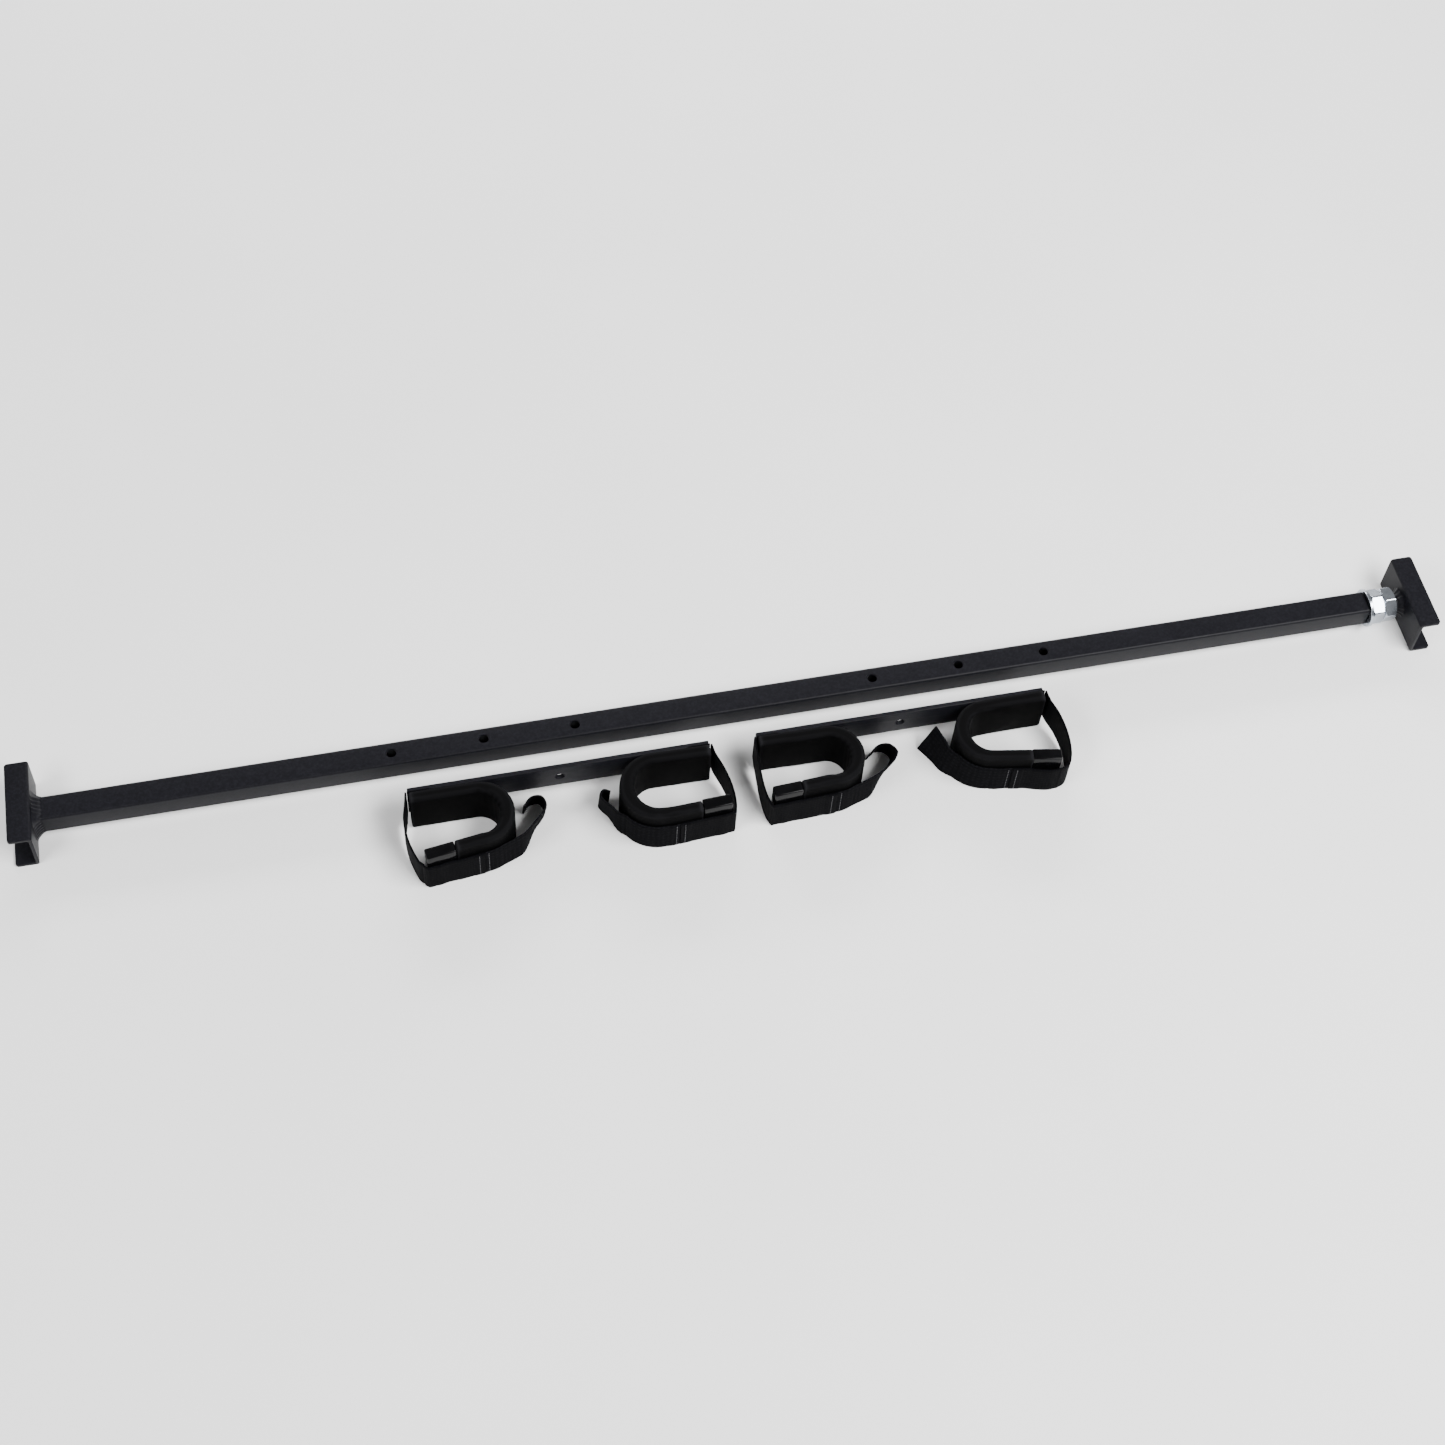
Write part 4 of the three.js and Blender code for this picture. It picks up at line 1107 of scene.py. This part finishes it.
# ------------------------------------------------------------------ operators
class PULLUP_OT_stage(bpy.types.Operator):
    """Floor, softboxes and camera"""

    bl_idname = "pullup.stage"
    bl_label = "Stage"

    def execute(self, context):
        stage = context.scene.pull_up_stage
        paper = box_mesh("floor", Vector((-7, -7, -0.02)), Vector((7, 7, 0)))
        floor = bpy.data.objects.new("floor", paper)
        context.scene.collection.objects.link(floor)
        floor.data.materials.append(studio_paper(stage.floor_colour))
        world = bpy.data.worlds.new("studio")
        world.use_nodes = True
        sky = world.node_tree.nodes["Background"]
        sky.inputs["Color"].default_value = (1, 1, 1, 1)
        sky.inputs["Strength"].default_value = 0.36
        context.scene.world = world
        # Name, power, place, width and height of each softbox; all face the object's middle.
        softboxes = (
            ("key", stage.key_power, (1.5, -1.3, 2.7), 2.2, 1.1),
            ("left fill", stage.fill_power, (-2.4, -0.9, 2.6), 1.6, 1.0),
            ("rear strip", stage.fill_power, (0.2, 2.6, 1.2), 2.4, 0.5),
        )
        for name, power, spot, width, height in softboxes:
            light = bpy.data.lights.new(name, "AREA")
            light.shape = "RECTANGLE"
            light.size = width
            light.size_y = height
            light.energy = power
            obj = bpy.data.objects.new(name, light)
            obj.location = spot
            obj.rotation_euler = (-Vector(spot)).to_track_quat("-Z", "Y").to_euler()
            context.scene.collection.objects.link(obj)
        self.camera(context)
        return {"FINISHED"}

    def camera(self, context):
        """A long lens from above the left of the bar, looking down at 53 degrees."""
        elevation = math.radians(52.79741)
        yaw = math.radians(17.18903)
        roll = math.radians(-5.87106)
        pitch = Matrix(((1, 0, 0), (0, math.sin(elevation), math.cos(elevation)),
                        (0, -math.cos(elevation), math.sin(elevation))))
        turn = Matrix.Rotation(roll, 3, "Z") @ pitch @ Matrix.Rotation(yaw, 3, "Z")
        foot = Vector((0.0, middle("square_tube").y, 0.0))
        spot = foot + Vector((-0.38568, -1.24084, 2.10569))
        camera = bpy.data.objects.new("camera", bpy.data.cameras.new("camera"))
        camera.matrix_world = Matrix.Translation(spot) @ turn.transposed().to_4x4()
        camera.data.lens = 60.92
        camera.data.sensor_width = 36
        camera.data.shift_x = -0.03442
        camera.data.shift_y = -0.16738
        camera.data.clip_end = 50
        context.scene.collection.objects.link(camera)
        context.scene.camera = camera


class PULLUP_OT_tube(bpy.types.Operator):
    """Square tube with its bolt holes, and the weld to the fixed channel"""

    bl_idname = "pullup.tube"
    bl_label = "Square Tube"

    def execute(self, context):
        steel = context.scene.pull_up_steel
        square_tube_piece(steel)
        low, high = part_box("square_tube")
        centre = (low + high) / 2
        path = square_path(centre.y, centre.z, high.y - centre.y, steel.tube_corner, 1.0 * MM)
        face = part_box("tube_weld")[0].x
        legs = (TUBE_WELD_LEG, TUBE_WELD_LEG)
        bead = bead_piece("tube_weld_bead", path, face, 1, legs, steel.weld_ripple)
        settled(bead, "main_bar", "powder_coat", "tube_weld")
        return {"FINISHED"}


class PULLUP_OT_channels(bpy.types.Operator):
    """The two end channels that bear on the doorway"""

    bl_idname = "pullup.channels"
    bl_label = "End Channels"

    def execute(self, context):
        steel = context.scene.pull_up_steel
        settled(channel_piece("left_channel", -1, steel), "main_bar", "powder_coat", "left_channel")
        settled(channel_piece("right_channel", 1, steel), "adjuster", "powder_coat", "right_channel")
        return {"FINISHED"}


class PULLUP_OT_screw_jack(bpy.types.Operator):
    """Washer, jack nut, jam nut, threaded rod and the rod's weld"""

    bl_idname = "pullup.screw_jack"
    bl_label = "Screw Jack"

    def execute(self, context):
        steel = context.scene.pull_up_steel
        settled(washer_piece(), "main_bar", "zinc", "end_washer")
        for name, turned in (("jack_nut", JACK_NUT_TURNED), ("jam_nut", JAM_NUT_TURNED)):
            settled(nut_piece(name + "_zinc", name, turned), name, "zinc", name)
        low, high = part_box("threaded_rod")
        length = high.x - low.x
        start = Vector((low.x, (low.y + high.y) / 2, (low.z + high.z) / 2))
        sizes = {"Major radius": ROD_RADIUS, "Depth": THREAD_DEPTH, "Length": length}
        tree = thread_tree(length / steel.thread_pitch, sizes)
        rod = grown("rod_with_thread", point_mesh("rod_with_thread", [start]), tree, sizes)
        settled(rod, "adjuster", "powder_coat", "threaded_rod")
        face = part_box("rod_weld")[1].x
        path = round_path(start.y, start.z, ROD_RADIUS)
        bead = bead_piece("rod_weld_bead", path, face, -1, ROD_WELD_LEGS, steel.weld_ripple, lumps=0.5)
        settled(bead, "adjuster", "powder_coat", "rod_weld")
        return {"FINISHED"}


class PULLUP_OT_flat_bars(bpy.types.Operator):
    """The two flat bars that carry the cuffs, and the hooks' steel cores"""

    bl_idname = "pullup.flat_bars"
    bl_label = "Flat Bars"

    def execute(self, context):
        steel = context.scene.pull_up_steel
        for name in ("left_flat_bar", "right_flat_bar"):
            flat_bar_piece(name, steel)
        for name in CUFF_NAMES:
            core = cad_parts[name + "_hook_strip"]
            core.data.materials.clear()
            core.data.materials.append(finish_named("satin black powder coat"))
        return {"FINISHED"}


class PULLUP_OT_rivets(bpy.types.Operator):
    """The zinc rivets that hold hooks and straps to the flat bars"""

    bl_idname = "pullup.rivets"
    bl_label = "Rivets"

    def execute(self, context):
        tree = rivet_tree()
        below_flush = 0.1 * MM
        for bar in ("left", "right"):
            cuffs = [name for name in CUFF_NAMES if CUFFS[name]["bar"] == bar]
            nodes = [name + end for name in cuffs for end in ("_end_rivet", "_arm_rivet")]
            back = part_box(bar + "_flat_bar")[1].y - below_flush
            points = [Vector((middle(n).x, back, middle(n).z)) for n in nodes]
            name = bar + "_bar_rivets"
            rivets = grown(name, point_mesh(name, points), tree, RIVET_SIZES)
            smoothed(rivets.data, 30)
            settled(rivets, bar + "_cuff_bar", "zinc", *nodes)
        return {"FINISHED"}


class PULLUP_OT_foam_pads(bpy.types.Operator):
    """The foam sleeves on the hooks"""

    bl_idname = "pullup.foam_pads"
    bl_label = "Foam Pads"

    def execute(self, context):
        settings = context.scene.pull_up_cuff
        for name in CUFF_NAMES:
            cuff = CUFFS[name]
            pad = piece(name + "_foam_sleeve", pad_mesh(name, cuff, settings), "closed cell neoprene foam")
            swollen(pad, settings.foam_swell)
            smoothed(pad.data, 60)
            settled(pad, cuff["bar"] + "_cuff_bar", "foam", name + "_foam_pad")
        return {"FINISHED"}


class PULLUP_OT_tip_caps(bpy.types.Operator):
    """The dipped caps on the hooks' tips"""

    bl_idname = "pullup.tip_caps"
    bl_label = "Tip Caps"

    def execute(self, context):
        settings = context.scene.pull_up_cuff
        for name in CUFF_NAMES:
            cuff = CUFFS[name]
            cap = piece(name + "_vinyl_cap", cap_mesh(cuff), "dipped vinyl")
            bevelled(cap, settings.cap_corner, 6, 30)
            smoothed(cap.data, 60)
            settled(cap, cuff["bar"] + "_cuff_bar", "vinyl", name + "_tip_cap")
        return {"FINISHED"}


class PULLUP_OT_straps(bpy.types.Operator):
    """Webbing, grip tape, strap anchors and their stitches"""

    bl_idname = "pullup.straps"
    bl_label = "Straps"

    def execute(self, context):
        settings = context.scene.pull_up_cuff
        sizes = {"Pitch": settings.stitch_pitch, "Thread": 0.8 * MM, "Stitch": 2.4 * MM}
        tree = stitch_tree(sizes)
        for name in CUFF_NAMES:
            cuff = CUFFS[name]
            place = placer(cuff)
            line, seam = strap_line(cuff)
            body = name + "_strap"
            hem = -outward_sign(line, seam, cuff)
            webbing = ribbon(name + "_webbing", line[:seam + 1], place, STRAP_HALF, hem=hem)
            webbing = piece(name + "_webbing", webbing, "nylon webbing")
            settled(webbing, body, "webbing", name + "_strap_webbing")
            start = line[seam].lerp(line[seam + 1], 0.3)
            tape = ribbon(name + "_tape", [start] + line[seam + 1:], place, TAPE_HALF, cuff,
                          ribs=settings.rib_pitch / MM)
            tape = piece(name + "_tape", tape, "hook and loop tape")
            settled(tape, body, "grip_tape", name + "_grip_tape")
            points, edges = seam_rows(cuff, line, seam, place)
            rows = point_mesh(name + "_stitches", points, edges)
            stitches = grown(name + "_stitches", rows, tree, sizes)
            settled(stitches, body, "webbing")
            self.anchor(name, cuff, place)
        return {"FINISHED"}

    def anchor(self, name, cuff, place):
        """The strap's riveted end, behind the foam."""
        line = [Vector((u, ANCHOR_OUT, ANCHOR_BOTTOM)) for u in (-0.5, 2, 6, 10, 14, 18, ANCHOR_LENGTH)]
        tab = piece(name + "_anchor_tab", ribbon(name + "_anchor_tab", line, place, ANCHOR_HALF),
                    "nylon webbing")
        settled(tab, cuff["bar"] + "_cuff_bar", "webbing", name + "_strap_anchor")


class PULLUP_PT_panel(bpy.types.Panel):
    """Sizes, colours and one button for each group of pieces"""

    bl_label = "Pull-Up Bar"
    bl_idname = "PULLUP_PT_panel"
    bl_space_type = "VIEW_3D"
    bl_region_type = "UI"
    bl_category = "Pull-Up Bar"

    def draw(self, context):
        scene = context.scene
        for settings in (scene.pull_up_steel, scene.pull_up_cuff, scene.pull_up_stage):
            box = self.layout.box()
            for key in settings.__annotations__:
                box.prop(settings, key)
        for operator in OPERATORS:
            self.layout.operator(operator.bl_idname)


SETTINGS = (SteelSettings, CuffSettings, StageSettings)
OPERATORS = (
    PULLUP_OT_stage, PULLUP_OT_tube, PULLUP_OT_channels, PULLUP_OT_screw_jack, PULLUP_OT_flat_bars,
    PULLUP_OT_rivets, PULLUP_OT_foam_pads, PULLUP_OT_tip_caps, PULLUP_OT_straps,
)
CLASSES = SETTINGS + OPERATORS + (PULLUP_PT_panel,)


def register():
    for cls in CLASSES:
        bpy.utils.register_class(cls)
    bpy.types.Scene.pull_up_steel = bpy.props.PointerProperty(type=SteelSettings)
    bpy.types.Scene.pull_up_cuff = bpy.props.PointerProperty(type=CuffSettings)
    bpy.types.Scene.pull_up_stage = bpy.props.PointerProperty(type=StageSettings)


def unregister():
    del bpy.types.Scene.pull_up_stage
    del bpy.types.Scene.pull_up_cuff
    del bpy.types.Scene.pull_up_steel
    for cls in reversed(CLASSES):
        bpy.utils.unregister_class(cls)


def main():
    """Registers the add-on and builds every piece."""
    register()
    for operator in OPERATORS:
        group, name = operator.bl_idname.split(".")
        getattr(getattr(bpy.ops, group), name)()


if __name__ == "__main__":
    main()
